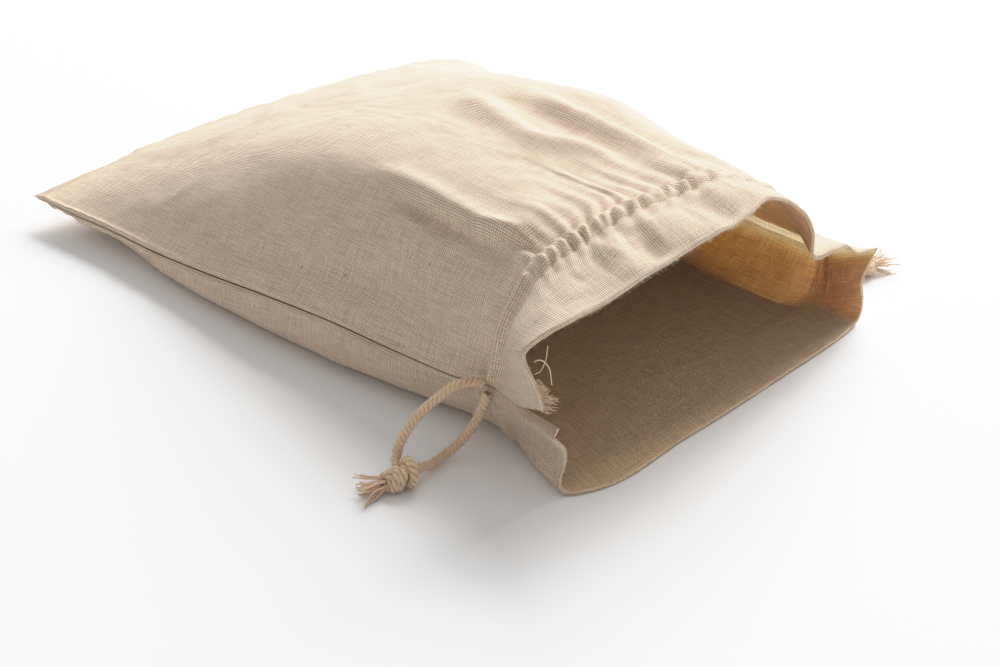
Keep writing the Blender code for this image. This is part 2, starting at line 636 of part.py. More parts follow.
def add_tassel(name, at, way, material):
    """Frayed cord ends: a flat head whose face is drawn out into strands."""
    ahead = np.array(way, float)
    ahead /= np.linalg.norm(ahead)
    aside = np.cross((0.0, 0.0, 1.0), ahead)
    aside /= np.linalg.norm(aside)
    up = np.cross(ahead, aside)
    wide, high = STRAND_ROWS
    at = np.array(at, float) + ahead * HEAD_DEPTH

    def corner(i, j, size=1.0, back=0.0):
        """A corner of the grid of yarns, drawn in to a round outline."""
        u, v = 2 * i / wide - 1, 2 * j / high - 1
        sideways = u * math.sqrt(1 - v * v / 2) * wide / 2 * STRAND_PITCH * size
        upwards = v * math.sqrt(1 - u * u / 2) * high / 2 * STRAND_PITCH * size
        return at + aside * sideways + up * upwards - ahead * back

    points, faces, index = [], [], {}

    def point(key, place):
        if key not in index:
            index[key] = len(points)
            points.append(place)
        return index[key]

    def face_corner(i, j):
        return point(("face", i, j), corner(i, j))

    def back_corner(i, j):
        return point(("back", i, j), corner(i, j, HEAD_TAPER, HEAD_DEPTH))

    for i in range(wide):
        for j in range(high):
            cell = [face_corner(i, j), face_corner(i + 1, j), face_corner(i + 1, j + 1),
                    face_corner(i, j + 1)]
            faces.append((back_corner(i, j), back_corner(i, j + 1), back_corner(i + 1, j + 1),
                          back_corner(i + 1, j)))
            spread = (i - (wide - 1) / 2) / wide * YARN_SPREAD + YARN_STRAY * math.sin(5.1 * i + 3.7 * j)
            rise = (j - (high - 1) / 2) / high * YARN_RISE + YARN_STRAY * math.sin(2.3 * i + 7.9 * j)
            reach = YARN_LENGTH * (1.0 - YARN_UNEVEN + YARN_UNEVEN * math.sin(3.3 * i + 1.7 * j))
            root = corner(i + 0.5, j + 0.5)
            ring = cell
            for step, (gone, size) in enumerate(YARN_RINGS):
                bend = ahead * gone + aside * spread * gone**1.4 + up * rise * gone**1.3
                middle = root + bend * reach + ahead * YARN_ROOT
                half = YARN_WIDTH / 2 * size
                middle[2] = max(middle[2], half + YARN_LIFT)
                corners = [middle + aside * a * half + up * b * half
                           for a, b in ((-1, -1), (1, -1), (1, 1), (-1, 1))]
                new = [point((i, j, step, k), corners[k]) for k in range(4)]
                for k in range(4):
                    n = (k + 1) % 4
                    faces.append((ring[k], ring[n], new[n], new[k]))
                ring = new
            faces.append(tuple(ring))
    for i in range(wide):
        faces.append((face_corner(i, 0), back_corner(i, 0), back_corner(i + 1, 0), face_corner(i + 1, 0)))
        faces.append((face_corner(i + 1, high), back_corner(i + 1, high), back_corner(i, high),
                      face_corner(i, high)))
    for j in range(high):
        faces.append((face_corner(0, j + 1), back_corner(0, j + 1), back_corner(0, j), face_corner(0, j)))
        faces.append((face_corner(wide, j), back_corner(wide, j), back_corner(wide, j + 1),
                      face_corner(wide, j + 1)))
    return add_object(name, np.array(points), faces, material)


def main():
    for thing in list(bpy.data.objects):
        bpy.data.objects.remove(thing)
    linen = make_material("natural_linen", (0.62, 0.52, 0.42), 0.9)
    linen_back = make_material("natural_linen_back", (0.60, 0.50, 0.40), 0.9)
    panels = build_panels()
    for name, material, flip in (("front_panel", linen, False), ("back_panel", linen_back, True)):
        outer, inner = panels[name]
        rows, cols = outer.shape[:2]
        points = np.concatenate([outer.reshape(-1, 3), inner.reshape(-1, 3)])
        add_object(name, points, shell_faces(rows, cols, flip), material)
    cotton = make_material("twisted_cotton", (0.72, 0.62, 0.50), 0.85)
    for side, at, way, wraps, routes in (
            ("near", NEAR_KNOT_AT, NEAR_TASSEL_WAY, NEAR_WRAPS, (NEAR_CORD_UPPER, NEAR_CORD_LOWER)),
            ("far", FAR_KNOT_AT, FAR_TASSEL_WAY, FAR_WRAPS, (FAR_CORD_UPPER, FAR_CORD_LOWER))):
        knot = Knot(at, way, wraps)
        knot.add(f"{side}_knot", cotton)
        for name, route in zip(("upper", "lower"), routes):
            last = knot.seat(np.array(route[-1]) - knot.at, ROPE / 2)
            points, faces = rope_mesh(list(route) + [last])
            add_object(f"{side}_cord_{name}", points, faces, cotton)
        head = STRAND_PITCH * max(STRAND_ROWS) / 2 * HEAD_TAPER
        add_tassel(f"{side}_tassel", knot.seat(way, head), way, cotton)


main()
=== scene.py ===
"""Looks of the linen drawstring bread bag that lies with its mouth held open.

Fine cloth, twisted cords, knots, frayed ends, stitches and loose threads stand on the same tables as the
solids. Drafting is in millimetres with Z up and the mouth towards -Y; meshes are in metres.
"""
import math

import bpy
import numpy as np
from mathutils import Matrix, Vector, noise


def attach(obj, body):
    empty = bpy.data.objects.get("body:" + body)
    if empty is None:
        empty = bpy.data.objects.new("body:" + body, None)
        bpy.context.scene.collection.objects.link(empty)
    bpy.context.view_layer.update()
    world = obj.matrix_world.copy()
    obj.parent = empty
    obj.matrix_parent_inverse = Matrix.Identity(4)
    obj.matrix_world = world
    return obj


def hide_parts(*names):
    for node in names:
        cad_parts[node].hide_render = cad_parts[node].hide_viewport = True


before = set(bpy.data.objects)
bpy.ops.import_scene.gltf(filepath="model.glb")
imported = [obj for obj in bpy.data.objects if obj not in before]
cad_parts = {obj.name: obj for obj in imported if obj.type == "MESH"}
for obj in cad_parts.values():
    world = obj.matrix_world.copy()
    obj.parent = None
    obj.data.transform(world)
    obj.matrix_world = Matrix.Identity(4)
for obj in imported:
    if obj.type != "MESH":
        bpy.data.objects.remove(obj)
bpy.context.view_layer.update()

# ---- driving sizes, mm
CUT_LENGTH = 403.0        # mouth hem to closed end
CUT_WIDTH = 305.0         # side seam to side seam, one panel laid flat
CLOTH = 1.2               # one layer
DOUBLED_CLOTH = 1.8       # heading and channel, turned back on themselves
SEAM_CLOTH = 0.35         # panels are pressed thin where they meet at a seam
SEAM_PRESS = 14.0         # how far that pressing reaches from the seam
END_PRESS = 0.5           # share of its thickness the cloth keeps at the closed end's seam
HEADING = 40.0            # mouth hem to the first stitch line of the channel
CHANNEL = 12.0            # between the two stitch lines
CHANNEL_MIDDLE = HEADING + CHANNEL / 2
CHANNEL_PUFF = 2.6        # how far the cord lifts the channel
STITCH_DEPTH = 0.7        # how far a stitch line is pulled in
STITCH_WIDTH = 1.6        # how wide that pull is
DOUBLING_RAMP = 6.0       # behind the channel the cloth thins to one layer over this length
CHANNEL_FADE = 6.0        # the channel flattens this close to a side seam
FOLD_FADE = 30.0          # gathers and folds die away this close to a seam
FLOOR_SNAP = 0.5          # the underside closer to the table than this lies on it
ROPE = 4.2                # drawcord diameter
ROPE_LAY = 7.0            # length of one full turn of its three strands
MIDDLE = (38.5, 155.8)    # middle of the bag on the table, in the drafting frame

# ---- the mouth, mm
# Rings run from the near side seam, over or under the bag, to the far side seam.
NEAR_EXIT = (-77, 0, 35)
FAR_EXIT = (151, 12, 28)
NEAR_CORNER = (-86, -43, 45.5)  # lower front corner of the mouth's near slit
FAR_CORNER = (146, -25, 42)

FRONT_HEM = (
    NEAR_CORNER, (-92, -45, 60), (-97, -44, 78), (-88, -50, 87), (-57, -51, 91), (-14, -47, 96),
    (34, -41, 99), (56, -34, 98), (77, -33, 86), (90, -32, 69), (92, -32, 57), (105, -32, 57),
    (119, -27, 53), (134, -24, 43), FAR_CORNER)
FRONT_CHANNEL = (
    NEAR_EXIT, (-77, -5, 54), (-75, -7, 66), (-69, -7, 77), (-57, -6, 88), (-40, -7, 94), (-10, -6, 99),
    (25, -5, 100), (60, -3, 96), (86, -2, 83), (105, 0, 68), (124, 4, 50), (140, 8, 35), FAR_EXIT)
BACK_HEM = (
    (-76, -42, 34), (-82, -45.5, 32), (-76, -45, 22), (-74.5, -43.5, 14), (-76, -43, 8.5),
    (-76.5, -43.5, 4), (-73, -45.5, 0.6), (-66, -48.5, 0), (0, -44, 0), (70, -34, 0), (128, -24, 0),
    (143, -20, 3), (146, -19, 12), (143, -20, 24), (145, -22, 33), FAR_CORNER)
BACK_HEADING = (
    (-74, -20, 32), (-77.5, -22, 29), (-72.5, -21, 22), (-70, -20, 14), (-71, -19, 8.5), (-71, -19.5, 4),
    (-67.5, -21, 0.6), (-60, -24, 0), (0, -23, 0), (76, -18, 0), (128, -11, 0), (142, -8, 3),
    (147, -7, 13), (146, -7, 24), (149, -6, 34))
FRONT_HEADING = (
    (-81, -22, 37), (-85, -24, 54), (-88, -26, 72), (-79, -28, 84), (-57, -29, 91), (-20, -27, 99),
    (24, -24, 101), (58, -19, 98), (80, -17, 86), (95, -16, 70), (104, -15, 58), (122, -12, 50),
    (138, -8, 41), (149, -6, 34))
BACK_CHANNEL = (
    NEAR_EXIT, (-76, -1, 25), (-70, -1, 13), (-63, -2, 4), (-54, -2, 0), (0, -3, 0), (80, -3, 0),
    (128, 2, 0), (142, 6, 3), (150, 10, 12), FAR_EXIT)

# ---- the body, mm
# One row per cross-section: distance from the mouth hem, y at both seams, then x and z of its points.
FRONT_SECTIONS = (
    # along  y near  y far  near seam   near wall  shoulder   crown     shoulder  far wall   far seam
    (72, 25, 22, (-78, 30), (-70, 62), (-56, 88), (5, 99), (82, 90), (116, 61), (149, 28)),
    (107, 60, 60, (-81, 28), (-69, 61), (-54, 88), (5, 99), (86, 90), (120, 62), (149, 27)),
    (152, 105, 107, (-87, 28), (-73, 59), (-53, 87), (8, 98), (94, 91), (126, 64), (150, 27)),
    (198, 150, 154, (-93, 26), (-77, 54), (-52, 82), (12, 94), (95, 87), (128, 62), (153, 24)),
    (244, 195, 200, (-96, 21), (-81, 46), (-52, 72), (16, 84), (96, 79), (132, 57), (159, 22)),
    (291, 240, 246, (-99, 17), (-84, 36), (-52, 57), (20, 69), (98, 68), (140, 51), (167, 20)),
    (339, 285, 297, (-103, 16), (-83, 29), (-43, 45), (26, 55), (104, 55), (152, 45), (176, 20)),
    (378, 322, 338, (-109, 16), (-84, 24), (-40, 33), (33, 37), (108, 37), (157, 33), (184, 20)),
    (403, 346, 364, (-113, 17), (-84, 19), (-38, 24), (37, 27), (110, 26), (160, 23), (190, 20)),
)
# The same rows for the cloth underneath: how high it hangs over the table, and how far in from
# each seam the bend to the table begins.
BACK_SECTIONS = (
    # along  near bend x, z  near floor x  height  far floor x  far bend x, z
    (72, (-71, 11), -58, 0, 126, (141, 12)),
    (107, (-80, 11), -66, 0, 124, (142, 12)),
    (152, (-88, 10), -76, 0, 124, (144, 11)),
    (198, (-94, 10), -84, 0, 128, (147, 10)),
    (244, (-98, 9), -88, 0, 136, (153, 9)),
    (291, (-98, 7), -88, 0, 146, (160, 8)),
    (339, (-96, 7), -84, 1, 154, (168, 8)),
    (378, (-98, 9), -84, 6, 160, (172, 9)),
)

# ---- gathers and folds, mm
# Gathers of the channel: place across as a share of the cloth's width, height, reach into the body.
GATHERS = (
    (0.193, 1.5, 14), (0.214, 2, 18), (0.236, 2.6, 34), (0.257, 1.8, 20), (0.280, 2.8, 38), (0.303, 2, 22),
    (0.329, 2.6, 34), (0.363, 2.1, 28), (0.394, 2.8, 42), (0.430, 1.9, 26), (0.461, 2.6, 36),
    (0.500, 2, 34), (0.535, 1.8, 30), (0.575, 2.4, 44), (0.620, 1.8, 28), (0.665, 2.2, 36),
    (0.715, 1.8, 26), (0.770, 2.1, 32), (0.830, 1.7, 24), (0.885, 1.5, 20))
GATHER_HEADING_REACH = 17.0  # how far they run into the heading
GATHER_EDGE = 0.03        # half room of the first and last gather, share of the width
GATHER_LEAN = 10.0        # how far they lean towards the far side behind the channel
LEAN_MIDDLE = 104.0       # across the cloth, where they lean most
LEAN_WIDTH = 20.0         # how far to either side of that they lean
LEAN_REACH = 17.0         # behind the channel, the length over which they do

# Long soft ridges and troughs of the front on its flat cloth: half width, height (a trough's is below
# 0), then the places it runs through, each across and along.
FOLDS = (
    (8, 2.6, (163, 207), (145, 162), (140, 135), (142, 118), (151, 109), (155, 95), (158, 79)),
    (8, -2.8, (168, 204), (164, 142), (164, 106), (162, 66)),
    (8, 3.2, (177, 173), (173, 134), (175, 98), (168, 59), (167, 33)),
    (8, -2.4, (196, 190), (190, 130), (190, 55)),
    (6, 1.8, (74, 182), (75, 129), (71, 79), (77, 66), (100, 72), (114, 68)),
    (5, -2, (65, 150), (63, 92), (63, 64), (75, 57)),
    (6, -1.6, (50, 100), (58, 52)),
    (11, -2.6, (17, 310), (22, 202), (26, 110), (27, 70)),
    (20, -1.8, (46, 240), (46, 120)),
    (20, 1.6, (100, 330), (165, 290)),
    (7, 1.2, (73, 33), (67, 9)),
    (8, 1.8, (104, 34), (99, 17), (95, 0)),
    (6, -2.6, (113, 32), (113, 0)),
    (9, 1.6, (130, 31), (133, 0)),
    (7, -2, (152, 33), (159, 5), (163, 0)),
    (8, 1.4, (161, 37), (177, 5)),
)

# ---- cords, mm
# Each drawcord leaves its channel as two strands that are tied in one knot.
NEAR_CORD_UPPER = (
    (-79.3, 2.4, 37), (-85, 4, 38.8), (-91, 6, 38.5), (-97, 8.5, 34.8), (-103, 11, 30.5), (-108, 13, 25.5),
    (-112.5, 14.2, 19.5), (-116, 14.6, 14.5), (-118.5, 13.5, 10.8))
NEAR_CORD_LOWER = (
    (-79.6, -0.8, 33), (-81, 1, 26.5), (-81.5, 3.6, 20), (-84, 6.5, 13), (-88, 8, 8), (-93, 9.5, 4.6),
    (-99, 9, 3.2), (-105, 7, 3.6), (-109.5, 6, 5))
FAR_CORD_UPPER = (
    (153, 13, 28), (157, 15, 26.5), (162, 17, 24), (167, 18, 20), (171, 18, 15), (176, 17, 11))
FAR_CORD_LOWER = (
    (153, 11.5, 22.5), (156, 10, 17), (160, 9, 11), (164, 8.5, 6), (169, 9, 3.4), (174, 10.5, 4))
NEAR_KNOT_AT = (-124.5, 4.5, 6.1)
FAR_KNOT_AT = (184.5, 13.5, 5.9)
NEAR_TASSEL_WAY = (-0.90, 0.34, -0.20)
FAR_TASSEL_WAY = (0.97, -0.20, -0.12)
# Wraps of a knot: along the cords, sideways and up from its middle, radius, tilt from level and
# turn about upright, in degrees.
NEAR_WRAPS = (
    (-4.6, -0.6, 1.6, 5.0, 84, -12), (-1.2, 0.4, -0.1, 4.2, 68, 20), (1.9, 0.2, -0.5, 3.8, 70, 8),
    (4.6, -0.3, -0.8, 2.6, 76, -20))
FAR_WRAPS = (
    (-4.2, 0.4, 1.2, 4.6, 80, 14), (-1.0, -0.4, -0.2, 4.2, 66, -26), (2.0, 0.2, -0.6, 3.8, 70, -6),
    (4.6, 0.2, -0.8, 2.6, 78, 22))

# ---- finer cloth than the solids, mm
SHARES_ACROSS = 1201      # places across at which a panel's rows are first taken
SIDE_STEPS = (0, 0.5, 1.0, 1.5, 2.0, 2.5, 3.1, 3.9, 4.9, 6.1, 7.5)  # columns beside a side seam
END_STEPS = (9.0, 7.0, 5.2, 3.9, 3.0, 2.3, 1.6, 1.0, 0.5, 0.0)  # rows before the closed end
TUBE_END = 55.0           # up to here from the near seam the channel is one smooth narrow tube
PUFFS_END = 176.0         # and beyond here it is flatter
SIDE_STEP = 2.4           # between the columns further in
PUFF_STEP = 1.25          # and where the channel is puffed
HEADING_STEP = 1.45       # between the rows of the heading
CHANNEL_STEP = 0.75       # of the channel
CHANNEL_MARGIN = 4.0      # and of this much to either side of it
GATHER_STEP = 1.35        # of the gathered cloth behind it
GATHERED_TO = 105.0       # which ends this far from the hem
BODY_STEP = 2.7           # and of the body
FINE_FROM = HEADING - CHANNEL_MARGIN
FINE_TO = HEADING + CHANNEL + CHANNEL_MARGIN
# Bands of even columns and rows: from, to, step.
COLUMN_BANDS = ((SIDE_STEPS[-1] + SIDE_STEP, TUBE_END - PUFF_STEP, SIDE_STEP),
                (TUBE_END, PUFFS_END, PUFF_STEP),
                (PUFFS_END, CUT_WIDTH - SIDE_STEPS[-1] - SIDE_STEP / 2, SIDE_STEP))
ROW_BANDS = ((0.0, FINE_FROM, HEADING_STEP),
             (FINE_FROM, FINE_TO, CHANNEL_STEP),
             (FINE_TO, GATHERED_TO, GATHER_STEP),
             (GATHERED_TO, CUT_LENGTH - END_STEPS[0] - BODY_STEP / 2, BODY_STEP))
SEWN_GAP = 0.02           # each panel stops this short of the seam line
NEAR_GAP = 0.3            # and this short of the near one, which gapes a little
EDGE_ROLL = 0.35          # bulge of a hem and of the slit's edges, share of their thickness
EDGE_INSIDE = 0.3         # their share of being inside the bag
SLIT_RAMP = 10.0          # the slit's edges thicken over this length before the channel
GATHERED = 0.6            # share of the gathers' height that the pinches leave
CREASE_REACH = 13.0       # gathers have sharp valleys this close to the channel
ROUND_POWER = 2.0         # power of the cosine that rounds a gather
CREASE_SHARPNESS = 1.25   # how much of that power is lost at the channel

# Where the channel is drawn in between its puffs: across the cloth, how deep, how askew.
PINCHES = (
    (59, 0.9, 0.1), (64.5, 0.6, -0.15), (70.5, 1, 0.1), (76, 0.55, 0.3), (82, 0.95, 0.15), (88, 0.6, -0.1),
    (94.5, 1, 0.3), (101.5, 0.6, 0.1), (108, 1, 0.4), (117, 0.7, 0.15), (125.5, 1, 0.35), (133, 0.5, 0),
    (141, 0.95, 0.3), (149, 0.7, 0.1), (158, 0.9, 0.3), (170, 0.5, 0.1), (187, 0.7, 0.2), (206, 0.5, 0.1),
    (228, 0.6, 0.1), (252, 0.4, 0.1))
PINCH = 0.8               # share of the channel's height lost there
PINCH_WIDTH = 1.6         # half width of a pinch
PINCH_RUN = 6.5           # how far their furrows run out of the channel
FURROW = 1.0              # how deep they are
ROLL_POWER = 1.5          # power of the sine that rounds the channel
PUFF_UNEVEN = 0.7         # unevenness of its height, share of it
PUFF_PATCH = (8.0, 9.0)   # and its lengths across and along
PUFFS_FADE = 150.0        # from here to PUFFS_END the channel grows flatter
PUFFS_FAR = 0.35          # share of its height beyond
TUBE_FADE = 6.0           # length over which the tube becomes puffs
TUBE_LIFT = 3.3           # its height
TUBE_WIDTH = 2.5          # its half width
BACK_CHANNEL_SHARE = 0.7  # height of the back's channel, share of the front's
BACK_PINCH_SHARE = 0.4    # depth of its pinches, the same

LIP_AT = 2.3              # middle of the rounded lip beside a seam
LIP_WIDTH = 1.2           # its half width
LIP_FRONT = 1.3           # its height on the front
LIP_BACK = 1.6            # its height on the back
LIP_RAMP = 10.0           # behind the channel it rises over this length
LIP_PUCKER = 0.9          # how unevenly the seam draws it in, share of its height
LIP_PATCH = (7.0, 7.0)    # lengths of that unevenness across and along
UNEVEN = ((1.0, 26, 34), (0.44, 10, 12))  # the cloth's own: height, length across, length along
CREASE_FADE = 8.0         # creases and unevenness die away this close to a seam
LYING = 2.0               # the back lies smooth on the table up to this height
LYING_RAMP = 5.0          # and above that its relief comes in over this height
# Seeds of the noise: puffs, then each panel's unevenness and its seam lips.
PUFF_SEED, FRONT_SEED, BACK_SEED, FRONT_LIP_SEED, BACK_LIP_SEED = 3.9, 1.7, 9.2, 5.1, 6.4
SEED_STEP = 3.3           # from one size of unevenness to the next

FOLD_TAPER = 0.2          # share of a fold over which it dies away at each end
CREASE_TAPER = 0.35       # the same of a crease
# Thin creases of the front, laid out as the folds are.
CREASES = (
    (5, 2, (77, 175), (75, 130), (72, 92), (71, 72), (77, 64), (92, 69), (110, 66)),
    (4, -1.6, (66, 160), (64, 110), (62, 84), (64, 62), (78, 55)),
    (5.5, 1, (160, 215), (145, 150), (142, 125), (148, 104), (155, 66)),
    (6, -0.7, (168, 210), (153, 150), (151, 128), (158, 106), (163, 68)),
    (5.5, 1, (184, 205), (175, 134), (181, 104), (170, 56)),
    (6, -0.7, (194, 200), (184, 140), (190, 106), (179, 60)),
    (4.5, 1.6, (4, 250), (4, 184), (5, 142), (7, 112), (7, 84), (6, 62)),
    (6.5, -1.8, (17, 313), (15, 265), (15, 219), (18, 170), (21, 147), (23, 103), (23, 80)),
    (3, -1.1, (86, 38), (89, 22), (88, 6)),
    (2.6, 0.8, (94, 38), (96, 26), (101, 12)),
    (3, -1, (108, 37), (107, 24), (104, 8)),
    (3.2, 0.9, (120, 38), (122, 24), (119, 4)),
    (3, -0.9, (140, 38), (143, 22), (147, 2)),
    (2.4, -0.7, (70, 38), (74, 24), (80, 12)),
    (3, 0.8, (174, 38), (178, 20), (184, 4)),
    (3, -0.8, (197, 38), (199, 22), (205, 6)),
    (1.8, 1, (52, 86), (55, 70), (58, 58)),
    (5, -1.3, (66, 57), (77, 54)),
    (2.2, 0.8, (70, 88), (74, 72), (77, 60)),
    (2, 0.7, (93, 92), (95, 76), (97, 62)),
    (2.4, 0.8, (128, 100), (124, 80), (121, 62)),
    (2, -0.7, (30, 96), (42, 74), (50, 58)),
    (2.2, 0.6, (20, 150), (30, 128), (44, 112)),
    (1.7, 0.5, (10, 128), (22, 116), (34, 112)),
    (1.6, 0.5, (8, 92), (18, 84), (28, 80)),
    (2.6, 0.6, (12, 240), (24, 214), (40, 196)),
    (2.2, 0.5, (9, 196), (20, 186), (33, 182)),
    (2.6, 0.6, (14, 330), (30, 306), (52, 292)),
    (2, 0.5, (8, 300), (18, 286), (30, 280)),
    (3, 0.6, (60, 352), (88, 330), (120, 322)),
    (3, -0.6, (150, 300), (180, 262), (196, 232)),
    (2.4, 0.6, (196, 90), (204, 66), (208, 52)),
    (2.4, 0.6, (222, 96), (226, 72), (227, 54)),
)

# ---- weave, stitches, frayed yarns and loose fibres, mm
YARN_PITCH = 1.0          # between neighbouring threads, estimated at 0.85 to 1.05; finer wouldn't show
YARN_WANDER = 0.45        # how far the threads stray sideways
# Patterns of the linen, counted per thread of YARN_PITCH across and along.
WANDER_PATCHES = 0.065    # patches in which threads stray together, about 15 threads wide
WARP_SLUBS = (1.05, 0.06)  # thick and thin lengths of each thread, 14 to 17 threads long
WEFT_SLUBS = (0.07, 1.15)
GRAIN = 1.3               # fine grain of the fibres, a little finer than a thread
FLECKS = 0.06             # dark flecks, about 17 threads apart
# Fibres of the cotton, per millimetre along and across the yarn, and how askew they lie, in degrees.
COTTON_FIBRES = (0.42, 2.2)
COTTON_ASKEW = 24.0
STITCH_PITCH = 3.1        # of the channel's two stitch lines
STITCH_LENGTH = 2.2
STITCH_THREAD = 0.26      # radius of its sewing thread
STITCH_LIFT = 0.4         # height of a stitch over the cloth, share of that radius
STITCH_MARGIN = 4.0       # the stitch lines end this far from a side seam
STRAND = 0.55             # radius of one of three strands, share of the rope's radius
STRAND_ORBIT = 0.47       # from the rope's middle to its own, the same share
STRAND_SIDES = 12         # sides of its tube
STRAND_STEP = 0.5         # length of one ring of the tube
GROOVE_SHADE_FROM = 0.72        # a strand takes painted shade below this share of the rope's radius, down in its grooves
PROUD_FROM = 0.95         # and pale above this share
CORD_POINTS = 60          # points of a cord's line
WRAP_POINTS = 73          # points of a wrap's line
TASSEL_YARNS = 30
TASSEL_LENGTH = 11.5
TASSEL_AT = 6.0           # from the knot's middle to the yarns' roots
TASSEL_ROOT = (2.9, 2.5)  # half width and half height of their bundle
TASSEL_SPREAD = (0.75, 0.5)  # how far they fan out sideways and up, share of their length
TASSEL_REACH = (0.7, 1.12)  # shortest and longest yarn, share of the length
TASSEL_NARROWS = 0.2      # share by which the bundle narrows towards the tips
TASSEL_FAN = 1.5          # power with which they fan out
TASSEL_WAVE = 0.8         # how far a yarn strays, in a slow wave
SLOW_WAVE = 3.0           # radians over its length
QUICK_WAVE = 7.5          # and in a quick one
QUICK_SHARE = 0.55        # whose height is this share
YARN_POINTS = 11          # points of a yarn's line
YARN_SIDES = 6            # sides of its tube
TASSEL_RADII = (0.46, 0.30)  # radius at root and tip
TASSEL_LIFT = 0.5         # least height of a yarn's middle
TASSEL_SEED = 7
FRAY_YARNS = 64
FRAY_ROOTS = ((-90.3, -41, 60), (-87.4, -41, 52), (-84.6, -41, 44.6))
FRAY_TIPS = ((-85.4, -43, 58.6), (-82, -43, 53.1), (-79, -43, 46.7), (-80.2, -43, 42.5))
FRAY_SCATTER = 1.1        # of the tips
FRAY_BEND = 1.2           # how far a yarn bows out
FRAY_CURL = 0.5           # and curls
FRAY_CURLS = 2.5          # half turns of the curl
FRAY_POINTS = 9           # points of a yarn's line
FRAY_SIDES = 5            # sides of its tube
FRAY_RADII = (0.27, 0.15)  # radius at root and tip
FRAY_SEED = 5
LOOSE_RADIUS = 0.24       # of the two loose threads at the hem's corner
LOOSE_POINTS = 24         # points of a loose thread's line
LOOSE_THREADS = (
    ((-93.2, -47, 67.3), (-90.6, -47, 67.3), (-87.9, -47, 70.9), (-86.5, -47, 78.1)),
    ((-93.8, -47, 73), (-91.7, -47, 73.1), (-86.3, -47, 68.5), (-84, -47, 58.9)),
)
# Loose fibres: how many a square millimetre, length, half thickness as a share of it, seed. They are
# thicker than real ones, so that they show.
HEM_FIBRES = (1.6, 1.3, 0.045, 3)
CORD_FIBRES = (0.7, 1.1, 0.05, 11)
FIBRE_POINTS = 15         # corners of one fibre's mesh


# ---- curves and places
def mesh_place(points):
    """Drafting millimetres to metres about the middle of the bag."""
    return (np.asarray(points, float) - (MIDDLE[0], MIDDLE[1], 0.0)) / 1000.0


def hermite(knots, values, wanted):
    """A smooth curve through values at the knots, read at the wanted places."""
    knots, values, wanted = (np.asarray(item, float) for item in (knots, values, wanted))
    shape = (-1,) + (1,) * (values.ndim - 1)
    steps = np.diff(knots)
    slopes = np.diff(values, axis=0) / steps.reshape(shape)
    before, after = steps[:-1].reshape(shape), steps[1:].reshape(shape)
    inner = (slopes[:-1] * after + slopes[1:] * before) / (before + after)
    tangents = np.concatenate([slopes[:1], inner, slopes[-1:]])
    cell = np.clip(np.searchsorted(knots, wanted, side="right") - 1, 0, len(steps) - 1)
    step = steps[cell].reshape(shape)
    t = (wanted - knots[cell]).reshape(shape) / step
    return ((2 * t**3 - 3 * t**2 + 1) * values[cell] + (t**3 - 2 * t**2 + t) * step * tangents[cell]
            + (3 * t**2 - 2 * t**3) * values[cell + 1] + (t**3 - t**2) * step * tangents[cell + 1])


def lengths_along(points):
    """Running length of a line of points."""
    return np.concatenate([[0.0], np.cumsum(np.linalg.norm(np.diff(points, axis=0), axis=1))])


def resampled(points, places, wanted):
    """A line of points given at some places, read at others."""
    return np.stack([np.interp(wanted, places, points[:, axis]) for axis in range(3)], axis=1)


def through(points, shares, fine_places=1200):
    """A smooth curve through the points, read at shares of its whole length."""
    points = np.asarray(points, float)
    chords = lengths_along(points)
    fine = hermite(chords, points, np.linspace(0.0, chords[-1], fine_places))
    lengths = lengths_along(fine)
    return resampled(fine, lengths, np.asarray(shares) * lengths[-1])


def evenly(count):
    """Evenly spaced shares from 0 to 1."""
    return np.linspace(0, 1, count)


def ease(value):
    """Smooth step from 0 to 1."""
    t = np.clip(value, 0.0, 1.0)
    return t * t * (3.0 - 2.0 * t)


def hump(value):
    """Smooth rise to 1 at 0, gone past 2 to either side."""
    return np.exp(-value ** 2)


def unit(vectors):
    """Vectors of length 1."""
    vectors = np.asarray(vectors, float)
    return vectors / np.linalg.norm(vectors, axis=-1, keepdims=True)


# ---- places on the cloth
def banded(bands):
    """Even places, band after band."""
    return np.concatenate([np.arange(*band) for band in bands])


COLUMNS = np.concatenate([SIDE_STEPS, banded(COLUMN_BANDS), CUT_WIDTH - np.array(SIDE_STEPS[::-1])])
ROWS = np.concatenate([banded(ROW_BANDS), CUT_LENGTH - np.array(END_STEPS)])
GRID = (len(ROWS), len(COLUMNS))
FROM_SIDE = np.minimum(COLUMNS, CUT_WIDTH - COLUMNS)[None, :]  # to the nearer side seam
FROM_END = (CUT_LENGTH - ROWS)[:, None]  # to the closed end
PAST_MIDDLE = (ROWS - HEADING - CHANNEL / 2)[:, None]  # behind the middle of the channel
PAST_CHANNEL = (ROWS - HEADING - CHANNEL)[:, None]  # behind its second stitch line
BACK_ACROSS = np.tile(COLUMNS, (len(ROWS), 1))
LEANING = GATHER_LEAN * ease(PAST_MIDDLE / LEAN_REACH) * hump((COLUMNS - LEAN_MIDDLE) / LEAN_WIDTH)[None, :]
FRONT_ACROSS = BACK_ACROSS + LEANING


def smooth_noise(across, along, seed):
    """Even, repeatable unevenness from -1 to 1 over the cloth, in patches of a size."""
    return np.array([[noise.noise((u / across, v / along, seed)) for u in COLUMNS] for v in ROWS])


def between_seams(near, far, places):
    """Points of a cross-section from their x and z, with y running evenly from seam to seam."""
    return [(x, near[1] + (far[1] - near[1]) * ((x - near[0]) / (far[0] - near[0])), z) for x, z in places]


def section_points(row):
    """The over-body cross-section of one row of the table."""
    _, near_y, far_y, *places = row
    return between_seams((places[0][0], near_y), (places[-1][0], far_y), places)


